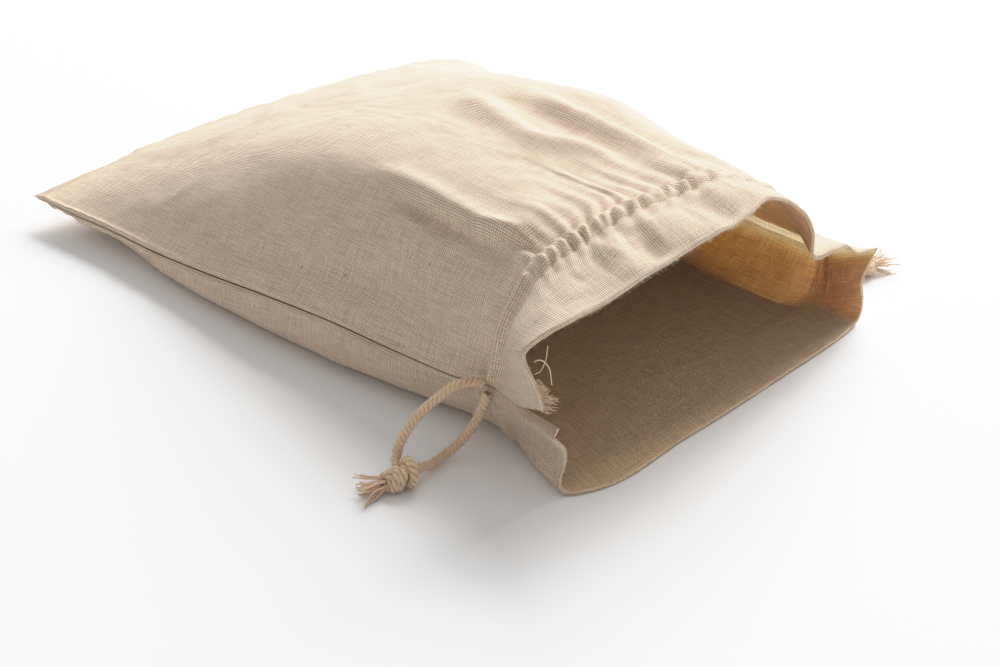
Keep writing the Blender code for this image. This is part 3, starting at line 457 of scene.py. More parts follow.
def under_points(over, row):
    """The cross-section under the body, between the same two seam points."""
    _, near_bend, near_floor, height, far_floor, far_bend = row
    inner = [near_bend, (near_floor, height), ((2 * near_floor + far_floor) / 3, height),
             ((near_floor + 2 * far_floor) / 3, height), (far_floor, height), far_bend]
    return [over[0]] + between_seams(over[0], over[-1], inner) + [over[-1]]


def panel_surface(mouth_rings, sections, across):
    """Outer surface of a panel as rows x columns points, before any gather or fold."""
    along = [0.0, CHANNEL_MIDDLE / 2, CHANNEL_MIDDLE] + [row[0] for row in FRONT_SECTIONS]
    places = evenly(SHARES_ACROSS)
    rings = [through(ring, places) for ring in list(mouth_rings) + sections]
    surface = hermite(along, np.stack(rings), ROWS)
    return np.stack([resampled(row, places, wanted / CUT_WIDTH) for row, wanted in zip(surface, across)])


def surface_normals(grid):
    """Unit normals of a grid, pointing up for cloth that runs from near to far."""
    return unit(np.cross(np.gradient(grid, axis=1), np.gradient(grid, axis=0)))


def edge_fade(width):
    """0 at the two side seams and the closed end, 1 past the given width."""
    return ease(FROM_SIDE / width) * ease(FROM_END / width)


def gather_relief():
    """Small folds that run out of the channel, round on top, with sharp valleys near it."""
    power = ROUND_POWER - CREASE_SHARPNESS * hump(PAST_MIDDLE / CREASE_REACH)
    places = [gather[0] * CUT_WIDTH for gather in GATHERS]
    edge = GATHER_EDGE * CUT_WIDTH
    borders = [places[0] - edge] + places + [places[-1] + edge]
    relief = np.zeros(GRID)
    for (_, height, body_reach), left, place, right in zip(GATHERS, borders, places, borders[2:]):
        half = np.where(COLUMNS < place, place - left, right - place) / 2
        top = np.cos(np.pi / 2 * np.clip((COLUMNS - place) / half, -1, 1))
        fade = hump(PAST_MIDDLE / np.where(PAST_MIDDLE > 0, body_reach, GATHER_HEADING_REACH))
        relief += height * fade * np.maximum(top, 0.0)[None, :] ** power
    return relief


def pinched():
    """Where the channel is drawn in, 1 at the deepest."""
    drawn = np.zeros(GRID)
    for place, depth, askew in PINCHES:
        beside = COLUMNS[None, :] - place - askew * PAST_MIDDLE
        drawn = np.maximum(drawn, depth * hump(beside / PINCH_WIDTH))
    return drawn


def channel_relief(drawn):
    """The channel: a smooth narrow tube near the cords' exit, then uneven puffs between its stitch lines."""
    roll = np.sin(np.pi * np.clip((ROWS - HEADING) / CHANNEL, 0, 1))[:, None] ** ROLL_POWER
    uneven = 1.0 + PUFF_UNEVEN * smooth_noise(*PUFF_PATCH, PUFF_SEED)
    puffs = CHANNEL_PUFF * roll * (1.0 - PINCH * drawn) * uneven
    puffs -= FURROW * drawn * hump(PAST_MIDDLE / PINCH_RUN)
    puffs *= 1.0 - (1.0 - PUFFS_FAR) * ease((COLUMNS - PUFFS_FADE) / (PUFFS_END - PUFFS_FADE))
    tube_lift = TUBE_LIFT * hump(PAST_MIDDLE / TUBE_WIDTH)
    stitch = hump((ROWS - HEADING) / STITCH_WIDTH)[:, None] + hump(PAST_CHANNEL / STITCH_WIDTH)
    puffed = ease((COLUMNS - TUBE_END) / TUBE_FADE)[None, :]
    return puffed * puffs + (1.0 - puffed) * tube_lift - STITCH_DEPTH * stitch


def fold_relief(folds, taper):
    """Soft ridges and troughs along lines on the cloth, fading over a share of their length at each end."""
    across, along = FRONT_ACROSS, ROWS[:, None]
    relief = np.zeros(GRID)
    for width, height, *places in folds:
        nearest2, reached, run = np.full(GRID, np.inf), np.zeros(GRID), 0.0
        for (a0, l0), (a1, l1) in zip(places, places[1:]):
            length2 = (a1 - a0) ** 2 + (l1 - l0) ** 2
            t = np.clip(((across - a0) * (a1 - a0) + (along - l0) * (l1 - l0)) / length2, 0, 1)
            off_across = across - a0 - t * (a1 - a0)
            off_along = along - l0 - t * (l1 - l0)
            off2 = off_across**2 + off_along**2
            reached = np.where(off2 < nearest2, run + t * math.sqrt(length2), reached)
            nearest2 = np.minimum(nearest2, off2)
            run += math.sqrt(length2)
        ends = ease(np.minimum(reached, run - reached) / (taper * run))
        relief += height * np.exp(-nearest2 / width**2) * ends
    return relief


def seam_lips(height, seed):
    """The rounded lip beside the side seams and the closed end, drawn in unevenly by the thread."""
    lip = np.maximum(hump((FROM_SIDE - LIP_AT) / LIP_WIDTH) * ease(FROM_END / LIP_AT),
                     hump((FROM_END - LIP_AT) / LIP_WIDTH) * ease(FROM_SIDE / LIP_AT))
    pucker = 1.0 + LIP_PUCKER * smooth_noise(*LIP_PATCH, seed)
    return height * ease(PAST_CHANNEL / LIP_RAMP) * lip * pucker


def unevenness(seed):
    """The cloth's own soft unevenness."""
    total = np.zeros(GRID)
    for step, (height, *patch) in enumerate(UNEVEN):
        total += height * smooth_noise(*patch, seed + SEED_STEP * step)
    return total


def build_panels():
    """Outer and inner grids of the front and back panel, which share their normals at the sewn edges."""
    over = [section_points(row) for row in FRONT_SECTIONS]
    under = [under_points(points, row) for points, row in zip(over, BACK_SECTIONS)] + [over[-1]]
    front = panel_surface((FRONT_HEM, FRONT_HEADING, FRONT_CHANNEL), over, FRONT_ACROSS)
    back = panel_surface((BACK_HEM, BACK_HEADING, BACK_CHANNEL), under, BACK_ACROSS)
    front[-1] = back[-1]

    drawn = pinched()
    relief = channel_relief(drawn) * edge_fade(CHANNEL_FADE)
    relief += (GATHERED * gather_relief() + fold_relief(FOLDS, FOLD_TAPER)) * edge_fade(FOLD_FADE)
    relief += (fold_relief(CREASES, CREASE_TAPER) + unevenness(FRONT_SEED)) * edge_fade(CREASE_FADE)
    relief += seam_lips(LIP_FRONT, FRONT_LIP_SEED)
    front = front + surface_normals(front) * relief[:, :, None]

    back[:, :, 2] = np.maximum(back[:, :, 2], 0.0)
    lifted = ease((back[:, :, 2] - LYING) / LYING_RAMP)
    relief = BACK_CHANNEL_SHARE * channel_relief(BACK_PINCH_SHARE * drawn) + unevenness(BACK_SEED)
    relief = relief * edge_fade(CREASE_FADE) + seam_lips(LIP_BACK, BACK_LIP_SEED)
    back = back - surface_normals(back) * (relief * lifted)[:, :, None]

    outward = {"front": surface_normals(front), "back": -surface_normals(back)}
    sewn = np.flatnonzero(ROWS >= CHANNEL_MIDDLE)[:-1]
    for edge in ((sewn, 0), (slice(-1), -1), (-1, slice(1, -1))):
        shared = unit(outward["front"][edge] + outward["back"][edge])
        outward["front"][edge] = shared
        outward["back"][edge] = shared
    for normals in outward.values():
        normals[-1, 0], normals[-1, -1] = normals[-2, 0], normals[-2, -1]

    layer = CLOTH + (DOUBLED_CLOTH - CLOTH) * (1.0 - ease(PAST_CHANNEL / DOUBLING_RAMP))
    slit = ease((CHANNEL_MIDDLE - ROWS) / SLIT_RAMP)[:, None] * (COLUMNS < CUT_WIDTH / 2)[None, :]
    thick = SEAM_CLOTH + (layer - SEAM_CLOTH) * np.maximum(edge_fade(SEAM_PRESS), slit)
    thick[-1] *= END_PRESS
    panels = {}
    for side, grid in (("front", front), ("back", back)):
        outer = grid.copy()
        outer[:, 0] += NEAR_GAP * unit(grid[:, 1] - grid[:, 0])
        outer[:, -1] += SEWN_GAP * unit(grid[:, -2] - grid[:, -1])
        outer[-1] += SEWN_GAP * unit(grid[-2] - grid[-1])
        normals = outward[side].copy()
        if side == "back":
            floor = outer[:, :, 2] < FLOOR_SNAP
            outer[:, :, 2][floor] = 0.0
            normals[floor] = (0.0, 0.0, -1.0)
        panels[side] = (outer, outer - normals * thick[:, :, None])
    return panels


# ---- meshes
def placed(name, data):
    """A new object in the scene."""
    item = bpy.data.objects.new(name, data)
    bpy.context.scene.collection.objects.link(item)
    return item


def add_mesh(name, points, faces, uvs, material, label, values):
    """A smooth-shaded mesh object from drafting points, with its own map and one named value per point."""
    mesh = bpy.data.meshes.new(name)
    mesh.from_pydata(mesh_place(points).tolist(), [], faces)
    if len(uvs) == len(points):
        corners = np.empty(len(mesh.loops), dtype=np.int32)
        mesh.loops.foreach_get("vertex_index", corners)
        uvs = uvs[corners]
    mesh.uv_layers.new(name="cloth").data.foreach_set("uv", (uvs / 1000.0).ravel())
    mesh.attributes.new(label, "FLOAT", "POINT").data.foreach_set("value", values.astype(np.float32))
    mesh.shade_smooth()
    mesh.materials.append(material)
    return placed(name, mesh)


def sheet_piece(name, outer, inner, across, flip):
    """A panel's closed sheet of linen with a rounded hem and rounded slit edges."""
    rows, cols = GRID
    count = rows * cols
    numbers = np.arange(count).reshape(GRID)
    flat = np.stack([across, np.broadcast_to(ROWS[:, None], GRID)], axis=-1).reshape(-1, 2)
    corners = (numbers[:-1, :-1], numbers[:-1, 1:], numbers[1:, 1:], numbers[1:, :-1])
    outer_faces = np.stack(corners, axis=-1).reshape(-1, 4)
    inner_faces = outer_faces[:, ::-1]

    # The rim, once round: mouth hem, far edge, closed end, near edge.
    here = np.concatenate([numbers[0], numbers[1:, -1], numbers[-1, -2::-1], numbers[-2:0:-1, 0]])
    there = np.roll(here, -1)
    ways = np.repeat(((0, -1), (1, 0), (0, 1), (-1, 0)), (cols, rows - 1, cols - 1, rows - 2), axis=0)
    thick = np.linalg.norm(outer - inner, axis=2, keepdims=True)
    bulge = np.zeros_like(outer)
    bulge[0] = unit(outer[0] - outer[1]) * thick[0] * EDGE_ROLL
    bulge[1:, 0] = unit(outer[1:, 0] - outer[1:, 1]) * (thick[1:, 0] - SEAM_CLOTH).clip(0) * EDGE_ROLL
    middle = ((outer + inner) / 2 + bulge).reshape(-1, 3)[here]
    mid_here = 2 * count + np.arange(len(here))
    mid_there = np.roll(mid_here, -1)
    rim_corners = (there, here, mid_here, mid_there, mid_there, mid_here, here + count, there + count)
    rim_faces = np.stack(rim_corners, axis=-1).reshape(-1, 4)
    step = ways * DOUBLED_CLOTH / 2
    near, far = flat[here], flat[there]
    rim_uvs = np.stack([far, near, near + step, far + step, far + step, near + step, near + 2 * step,
                        far + 2 * step], axis=1).reshape(-1, 4, 2)

    faces = np.concatenate([outer_faces, inner_faces + count, rim_faces])
    uvs = np.concatenate([flat[outer_faces], flat[inner_faces], rim_uvs])
    if flip:
        faces, uvs = faces[:, ::-1], uvs[:, ::-1]
    points = np.concatenate([outer.reshape(-1, 3), inner.reshape(-1, 3), middle])
    inside_glow = np.concatenate([np.zeros(count), np.ones(count), np.full(len(here), EDGE_INSIDE)])
    return add_mesh(name, points, faces.tolist(), uvs.reshape(-1, 2), LINEN, "inside_glow", inside_glow)


# ---- materials
# Kinds of node that come often.
MATH = "ShaderNodeMath"
VECTOR_MATH = "ShaderNodeVectorMath"
MAP_RANGE = "ShaderNodeMapRange"
MIX = "ShaderNodeMix"
NOISE = "ShaderNodeTexNoise"


def colour(code):
    """Linear RGBA from an sRGB hex value."""
    parts = [int(code[i:i + 2], 16) / 255 for i in (1, 3, 5)]
    return [c / 12.92 if c <= 0.04045 else ((c + 0.055) / 1.055) ** 2.4 for c in parts] + [1.0]


def fill(tree, item, inputs):
    """Give a node's inputs numbers, sockets, or nodes that stand for their first output."""
    for name, value in inputs.items():
        if isinstance(value, bpy.types.Node):
            value = value.outputs[0]
        if isinstance(value, bpy.types.NodeSocket):
            tree.links.new(value, item.inputs[name])
        else:
            item.inputs[name].default_value = value


def add(tree, kind, inputs=None, **settings):
    """Add a node to a tree with its settings and its inputs."""
    item = tree.nodes.new(kind)
    for name, value in settings.items():
        setattr(item, name, value)
    fill(tree, item, inputs or {})
    return item


def new_material(name, inputs):
    """A material with plain numbers on its shader, and the tree and shader to go on with."""
    material = bpy.data.materials.new(name)
    material.use_nodes = True
    tree = material.node_tree
    shader = tree.nodes["Principled BSDF"]
    fill(tree, shader, inputs)
    return material, tree, shader


def linen(name, thread, inside_glow, hole_shade, fleck):
    """Natural linen in plain weave: matt, uneven threads with painted shade in the holes between them, a
    soft bloom, and a warmer painted glow on the inside.
    """
    material, tree, shader = new_material(name, {
        "Roughness": 0.95, "Specular IOR Level": 0.25, "Sheen Roughness": 0.5,
        "Subsurface Radius": (1.0, 0.92, 0.8), "Subsurface Scale": 0.0028})
    place = add(tree, "ShaderNodeUVMap", uv_map="cloth")
    within = add(tree, "ShaderNodeAttribute", attribute_name="inside_glow").outputs["Fac"]

    # Outside a soft bloom; inside the light that comes through the cloth.
    bloom = add(tree, MAP_RANGE, {"Value": within, "To Min": 0.15, "To Max": 0.1})
    glow = add(tree, MAP_RANGE, {"Value": within, "From Min": 0.4, "To Min": 0.0, "To Max": 0.6})

    # The threads wander a little, in patches.
    threads_per_metre = 1000.0 / YARN_PITCH
    patches = add(tree, NOISE, {"Vector": place, "Scale": WANDER_PATCHES * threads_per_metre, "Detail": 2.0})
    centred = add(tree, VECTOR_MATH, {0: patches.outputs["Color"], 1: (0.5, 0.5, 0.5)},
                  operation="SUBTRACT")
    wander = add(tree, VECTOR_MATH, {0: centred, "Scale": 2 * YARN_WANDER / 1000.0},
                 operation="SCALE")
    moved = add(tree, VECTOR_MATH, {0: place, 1: wander}, operation="ADD")
    counted = add(tree, VECTOR_MATH, {0: moved, "Scale": threads_per_metre}, operation="SCALE")
    axes = add(tree, "ShaderNodeSeparateXYZ", {0: counted})

    # Round threads both ways, each with thick and pale lengths of its own.
    waves, profiles, shades = [], [], []
    for axis, slubs in (("X", WARP_SLUBS), ("Y", WEFT_SLUBS)):
        turn = add(tree, MATH, {0: axes.outputs[axis], 1: math.pi}, operation="MULTIPLY")
        waves.append(add(tree, MATH, {0: turn}, operation="SINE"))
        profiles.append(add(tree, MATH, {0: waves[-1]}, operation="ABSOLUTE"))
        scale = [count * threads_per_metre for count in slubs] + [1.0]
        stretched = add(tree, "ShaderNodeMapping", {"Vector": place, "Scale": scale})
        shades.append(add(tree, NOISE, {"Vector": stretched, "Scale": 1.0, "Detail": 2.0}))

    # They pass over and under each other in turn.
    product = add(tree, MATH, {0: waves[0], 1: waves[1]}, operation="MULTIPLY")
    over = add(tree, MAP_RANGE, {"Value": product, "From Min": -0.35, "From Max": 0.35},
               interpolation_type="SMOOTHSTEP")
    lifts = [add(tree, MAP_RANGE, {"Value": over, "To Min": low, "To Max": high})
             for low, high in ((0.6, 1.0), (1.0, 0.6))]
    warp, weft = (add(tree, MATH, {0: profile, 1: lift}, operation="MULTIPLY")
                  for profile, lift in zip(profiles, lifts))
    height = add(tree, MATH, {0: warp, 1: weft}, operation="MAXIMUM")
    grain = add(tree, NOISE, {"Vector": place, "Scale": GRAIN * threads_per_metre, "Detail": 1.0})
    threads = add(tree, MATH, {0: shades[0], 1: shades[1]}, operation="ADD")
    streak = add(tree, MATH, {0: threads, 1: grain}, operation="ADD")
    uneven = add(tree, MAP_RANGE, {"Value": streak, "From Min": 1.1, "From Max": 1.9,
                                              "To Min": 0.70, "To Max": 1.26})

    # Colour: threads, painted shade in the holes between them, and a few dark flecks.
    tops = add(tree, MAP_RANGE, {"Value": height, "From Min": 0.22, "From Max": 0.68})
    # Inside faces take a warmer colour: painted glow of light coming through the cloth, beside the real
    # subsurface glow.
    yarn = add(tree, MIX, {"Factor": within, 6: colour(thread), 7: colour(inside_glow)},
               data_type="RGBA").outputs[2]
    # Painted shade: where the threads dip, the colour goes to the dark hole colour.
    woven = add(tree, MIX, {"Factor": tops, 6: colour(hole_shade), 7: yarn}, data_type="RGBA")
    toned = add(tree, VECTOR_MATH, {0: woven.outputs[2], "Scale": uneven}, operation="SCALE")
    flecks = add(tree, "ShaderNodeTexVoronoi", {"Vector": place, "Scale": FLECKS * threads_per_metre,
                                                "Randomness": 1.0})
    dark = add(tree, MAP_RANGE, {"Value": flecks, "From Min": 0.03, "From Max": 0.05,
                                            "To Min": 0.5, "To Max": 0.0})
    flecked = add(tree, MIX, {"Factor": dark, 6: toned, 7: colour(fleck)}, data_type="RGBA")
    relief = add(tree, MATH, {0: height, 1: uneven}, operation="MULTIPLY")
    bump = add(tree, "ShaderNodeBump", {"Height": relief, "Strength": 1.0, "Distance": 0.0005})
    fill(tree, shader, {"Base Color": flecked.outputs[2], "Normal": bump, "Sheen Weight": bloom,
                        "Subsurface Weight": glow})
    return material


def cord_cotton(name, light, shade, groove_shade):
    """Twisted cotton: soft matt yarn of fine askew fibres, with painted shade down in the grooves between
    strands.
    """
    material, tree, shader = new_material(name, {
        "Roughness": 0.95, "Specular IOR Level": 0.2, "Sheen Weight": 0.4, "Sheen Roughness": 0.5})
    place = add(tree, "ShaderNodeUVMap", uv_map="cloth")
    per_metre = [count * 1000.0 for count in COTTON_FIBRES] + [1.0]
    askew = add(tree, "ShaderNodeMapping", {"Vector": place, "Scale": per_metre,
                                            "Rotation": (0.0, 0.0, math.radians(COTTON_ASKEW))})
    fibres = add(tree, NOISE, {"Vector": askew, "Scale": 1.0, "Detail": 3.0})
    mixed = add(tree, MIX, {"Factor": fibres, 6: colour(shade), 7: colour(light)},
                data_type="RGBA")
    # Painted shade: the groove colour where a strand sinks towards the rope's middle.
    proud = add(tree, "ShaderNodeAttribute", attribute_name="proud").outputs["Fac"]
    groove_shaded = add(tree, MIX, {"Factor": proud, 6: colour(groove_shade), 7: mixed.outputs[2]},
                  data_type="RGBA")
    bump = add(tree, "ShaderNodeBump", {"Height": fibres, "Strength": 0.6, "Distance": 0.0003})
    fill(tree, shader, {"Base Color": groove_shaded.outputs[2], "Normal": bump})
    return material


def soft_fibre(name, light):
    """Loose fibre ends and sewing thread: pale and matt, the soft halo at edges and on the cords."""
    return new_material(name, {"Base Color": colour(light), "Roughness": 0.9, "Specular IOR Level": 0.2})[0]


# Threads, the inside's warmer painted glow, painted shade in the holes, and dark flecks.
LINEN = linen("natural_linen_plain_weave", "#EBD1B7", "#EDCDA9", "#785C43", "#4E3828")
# Fibres pale and darker at random, and painted shade in the grooves between strands.
COTTON = cord_cotton("twisted_cotton_cord", "#EBD0B4", "#CFAA85", "#82603F")
FIBRE = soft_fibre("loose_linen_and_cotton_fibre", "#DECDB8")


# ---- twisted cords
def carried_frame(line):
    """Unit vectors ahead, to the side and up at each point of a line, carried along without twist."""
    ahead = unit(np.gradient(line, axis=0))
    side = np.cross(ahead[0], (0.0, 0.0, 1.0))
    if np.linalg.norm(side) < 0.1:  # the line starts upright
        side = np.cross(ahead[0], (0.0, 1.0, 0.0))
    sides = []
    for direction in ahead:
        side = side - direction * np.dot(side, direction)
        side = side / np.linalg.norm(side)
        sides.append(side)
    sides = np.array(sides)
    return ahead, sides, np.cross(ahead, sides)


def tube(line, radii, around):
    """Points, faces, map and proudness of a tube round a line, closed at both ends."""
    _, sides, ups = carried_frame(line)
    angles = np.arange(around) * 2 * math.pi / around
    ring = sides[:, None] * np.cos(angles)[None, :, None] + ups[:, None] * np.sin(angles)[None, :, None]
    points = line[:, None] + ring * np.asarray(radii, float).reshape(-1, 1, 1)
    end = len(line) * around
    turns = [(k, (k + 1) % around) for k in range(around)]
    faces = [(i + k, i + n, i + around + n, i + around + k) for i in range(0, end - around, around)
             for k, n in turns]
    faces += [tuple(range(around - 1, -1, -1)), tuple(range(end - around, end))]
    girth = 2 * math.pi * float(np.mean(radii)) / around
    uvs = np.stack(np.meshgrid(np.arange(around) * girth, lengths_along(line)), axis=-1)[..., ::-1]
    return points.reshape(-1, 3), faces, uvs.reshape(-1, 2), np.ones(end)


def cord_mesh(name, parts):
    """A mesh object of twisted cotton from tubes, nowhere under the table."""
    faces, count = [], 0
    for some_points, some_faces, _, _ in parts:
        faces.extend(tuple(index + count for index in face) for face in some_faces)
        count += len(some_points)
    points, uvs, proud = (np.concatenate([part[k] for part in parts]) for k in (0, 2, 3))
    points[:, 2] = np.maximum(points[:, 2], 0.0)
    return add_mesh(name, points, faces, uvs, COTTON, "proud", proud)


def twisted(line, lay=ROPE_LAY):
    """Three strands laid round a line, a little pressed into each other."""
    line = through(line, evenly(max(8, int(lengths_along(line)[-1] / STRAND_STEP))))
    run = lengths_along(line)
    _, sides, ups = carried_frame(line)
    radius = ROPE / 2
    parts = []
    for strand in range(3):
        angle = -2 * math.pi * (run / lay + strand / 3)
        out = sides * np.cos(angle)[:, None] + ups * np.sin(angle)[:, None]
        middle = line + out * (radius * STRAND_ORBIT)
        points, faces, uvs, _ = tube(middle, np.full(len(line), radius * STRAND), STRAND_SIDES)
        from_line = np.linalg.norm(points - np.repeat(line, STRAND_SIDES, axis=0), axis=1) / radius
        # Proudness of each point: low in the grooves, where the material paints shade.
        parts.append((points, faces, uvs, ease((from_line - GROOVE_SHADE_FROM) / (PROUD_FROM - GROOVE_SHADE_FROM))))
    return parts


def knot_wrap(at, way, wrap):
    """One wrap of a knot: a closed ring of twisted cord whose ends meet underneath."""
    ahead = unit((way[0], way[1], 0.0))
    aside, up = np.cross((0.0, 0.0, 1.0), ahead), np.array((0.0, 0.0, 1.0))
    along, sideways, lift, radius, tilt, turn = wrap
    centre = np.array(at, float) + ahead * along + aside * sideways + up * lift
    tilt, turn = math.radians(tilt), math.radians(turn)
    first = aside * math.cos(turn) + ahead * math.sin(turn)
    second = up * math.sin(tilt) + np.cross(up, first) * math.cos(tilt)
    angles = np.linspace(0, 2 * math.pi, WRAP_POINTS) - math.pi / 2
    line = centre + radius * (first * np.cos(angles)[:, None] + second * np.sin(angles)[:, None])
    length = 2 * math.pi * radius
    return twisted(line, length / (max(1, round(3 * length / ROPE_LAY)) / 3))


def tassel_yarns(at, way):
    """Frayed yarns of a cord's end, fanned out and settled on the table."""
    rng = np.random.default_rng(TASSEL_SEED)
    ahead = unit(way)
    aside = unit(np.cross((0.0, 0.0, 1.0), ahead))
    up = np.cross(ahead, aside)
    t = evenly(YARN_POINTS)[:, None]
    parts = []
    for _ in range(TASSEL_YARNS):
        angle, radius = rng.uniform(0, 2 * math.pi), math.sqrt(rng.uniform(0, 1))
        root, spread = (aside * math.cos(angle) * radius * wide + up * math.sin(angle) * radius * high
                        for wide, high in (TASSEL_ROOT, TASSEL_SPREAD))
        reach = TASSEL_LENGTH * rng.uniform(*TASSEL_REACH)
        wave = rng.uniform(-TASSEL_WAVE, TASSEL_WAVE, (2, 3))
        line = at + root * (1 - TASSEL_NARROWS * t) + (ahead * t + spread * t**TASSEL_FAN) * reach
        line = line + wave[0] * np.sin(t * SLOW_WAVE) + wave[1] * np.sin(t * QUICK_WAVE) * QUICK_SHARE
        line[:, 2] = np.maximum(line[:, 2], TASSEL_LIFT)
        parts.append(tube(line, np.linspace(*TASSEL_RADII, YARN_POINTS), YARN_SIDES))
    return parts


def frayed_edge():
    """Yarns that have come out of the front's hem beside the slit, and two loose threads."""
    rng = np.random.default_rng(FRAY_SEED)
    t = evenly(FRAY_POINTS)[:, None]
    roots, tips = (through(line, evenly(FRAY_YARNS)) for line in (FRAY_ROOTS, FRAY_TIPS))
    tips += rng.normal(0, FRAY_SCATTER, tips.shape)
    parts = []
    for root, tip in zip(roots, tips):
        line = root + (tip - root) * t + rng.uniform(-FRAY_BEND, FRAY_BEND, 3) * np.sin(math.pi * t)
        line = line + rng.uniform(-FRAY_CURL, FRAY_CURL, 3) * np.sin(FRAY_CURLS * math.pi * t)
        parts.append(tube(line, np.linspace(*FRAY_RADII, FRAY_POINTS), FRAY_SIDES))
    for route in LOOSE_THREADS:
        line = through(route, evenly(LOOSE_POINTS))
        parts.append(tube(line, np.full(LOOSE_POINTS, LOOSE_RADIUS), FRAY_SIDES))
    return parts


# ---- stitches and loose fibres
def geometry_tree(name, **sockets):
    """An empty Geometry Nodes tree with a geometry and other named inputs, and those inputs' sockets."""
    tree = bpy.data.node_groups.new(name, "GeometryNodeTree")
    for label, kind in {"Geometry": "Geometry", **sockets}.items():
        tree.interface.new_socket(label, in_out="INPUT", socket_type=f"NodeSocket{kind}")
    tree.interface.new_socket("Geometry", in_out="OUTPUT", socket_type="NodeSocketGeometry")
    return tree, add(tree, "NodeGroupInput").outputs


def finish_tree(tree, instances, material):
    """Realize the instances and give them their material."""
    real = add(tree, "GeometryNodeRealizeInstances", {"Geometry": instances})
    dressed = add(tree, "GeometryNodeSetMaterial", {"Geometry": real, "Material": material})
    add(tree, "NodeGroupOutput", {"Geometry": dressed})
    return tree


def stitch_tree():
    """Even running stitches along lines: Pitch apart, each a short thread of Length and Thread radius."""
    tree, given = geometry_tree("running_stitches", Pitch="Float", Length="Float", Thread="Float",
                                Material="Material")
    curve = add(tree, "GeometryNodeMeshToCurve", {"Mesh": given["Geometry"]})
    places = add(tree, "GeometryNodeResampleCurve", {"Curve": curve, "Length": given["Pitch"]},
                 mode="LENGTH")
    bead = add(tree, "GeometryNodeMeshUVSphere", {"Segments": 6, "Rings": 6, "Radius": 1.0})
    half = add(tree, MATH, {0: given["Length"], 1: 0.5}, operation="MULTIPLY")
    size = add(tree, "ShaderNodeCombineXYZ", {"X": half, "Y": given["Thread"], "Z": given["Thread"]})
    tangent = add(tree, "GeometryNodeInputTangent")
    turned = add(tree, "FunctionNodeAlignRotationToVector", {"Vector": tangent}, axis="X")
    stitches = add(tree, "GeometryNodeInstanceOnPoints", {
        "Points": places, "Instance": bead, "Rotation": turned, "Scale": size})
    return finish_tree(tree, stitches, given["Material"])


def fibre_tree():
    """Loose fibre ends over a surface: Density of them, curled, about Length long, leaning at random."""
    tree, given = geometry_tree("loose_fibres", Density="Float", Length="Float", Slimness="Float",
                                Seed="Int", Material="Material")
    places = add(tree, "GeometryNodeDistributePointsOnFaces", {
        "Mesh": given["Geometry"], "Density": given["Density"], "Seed": given["Seed"]})
    curl = add(tree, "GeometryNodeCurveQuadraticBezier", {
        "Resolution": 4, "Start": (0.0, 0.0, -0.05), "Middle": (0.05, 0.0, 0.6), "End": (0.6, 0.15, 0.75)})
    ring = add(tree, "GeometryNodeCurvePrimitiveCircle", {"Resolution": 3, "Radius": given["Slimness"]})
    fibre = add(tree, "GeometryNodeCurveToMesh", {"Curve": curl, "Profile Curve": ring, "Fill Caps": True})
    longest = add(tree, MATH, {0: given["Length"], 1: 1.5}, operation="MULTIPLY")
    shortest = add(tree, MATH, {0: given["Length"], 1: 0.4}, operation="MULTIPLY")
    size = add(tree, "FunctionNodeRandomValue", {2: shortest, 3: longest, "Seed": given["Seed"]},
               data_type="FLOAT")
    fibres = add(tree, "GeometryNodeInstanceOnPoints", {
        "Points": places, "Instance": fibre, "Rotation": places.outputs["Rotation"],
        "Scale": size.outputs[1]})
    turn = add(tree, "FunctionNodeRandomValue", {0: (-0.9, -0.9, -math.pi), 1: (0.9, 0.9, math.pi),
                                                 "Seed": given["Seed"]}, data_type="FLOAT_VECTOR")
    leaning = add(tree, "GeometryNodeRotateInstances", {"Instances": fibres, "Rotation": turn})
    return finish_tree(tree, leaning, given["Material"])


def grown(name, base, tree, values):
    """The mesh that a Geometry Nodes tree makes on a base mesh, as a piece of its own."""
    holder = placed("holder", base)
    modifier = holder.modifiers.new("grown", "NODES")
    modifier.node_group = tree
    for socket in tree.interface.items_tree:
        if socket.in_out == "INPUT" and socket.name in values:
            modifier[socket.identifier] = values[socket.name]
    graph = bpy.context.evaluated_depsgraph_get()
    mesh = bpy.data.meshes.new_from_object(holder.evaluated_get(graph))
    holder.modifiers.remove(modifier)
    bpy.data.objects.remove(holder)
    mesh.name = name
    return placed(name, mesh)


STITCHES = stitch_tree()
FIBRES = fibre_tree()


def stitched(name, lines):
    """Running stitches along lines of points, in millimetres."""
    edges, first = [], 0
    for line in lines:
        edges.extend((first + k, first + k + 1) for k in range(len(line) - 1))
        first += len(line)
    base = bpy.data.meshes.new("stitch_lines")
    base.from_pydata(mesh_place(np.concatenate(lines)).tolist(), edges, [])
    return grown(name, base, STITCHES, {"Pitch": STITCH_PITCH / 1000, "Length": STITCH_LENGTH / 1000,
                                        "Thread": STITCH_THREAD / 1000, "Material": FIBRE})


def fuzz(name, base, density, length, slimness, seed):
    """Loose fibre ends on a base mesh; one that dips under the table is lifted on to it."""
    piece = grown(name, base, FIBRES, {"Density": density * 1e6, "Length": length / 1000,
                                       "Slimness": slimness, "Seed": seed, "Material": FIBRE})
    places = np.empty(3 * len(piece.data.vertices))
    piece.data.vertices.foreach_get("co", places)
    fibres = places.reshape(-1, FIBRE_POINTS, 3)
    fibres[:, :, 2] -= np.minimum(fibres[:, :, 2].min(axis=1, keepdims=True), 0.0)
    piece.data.vertices.foreach_set("co", places)
    return piece


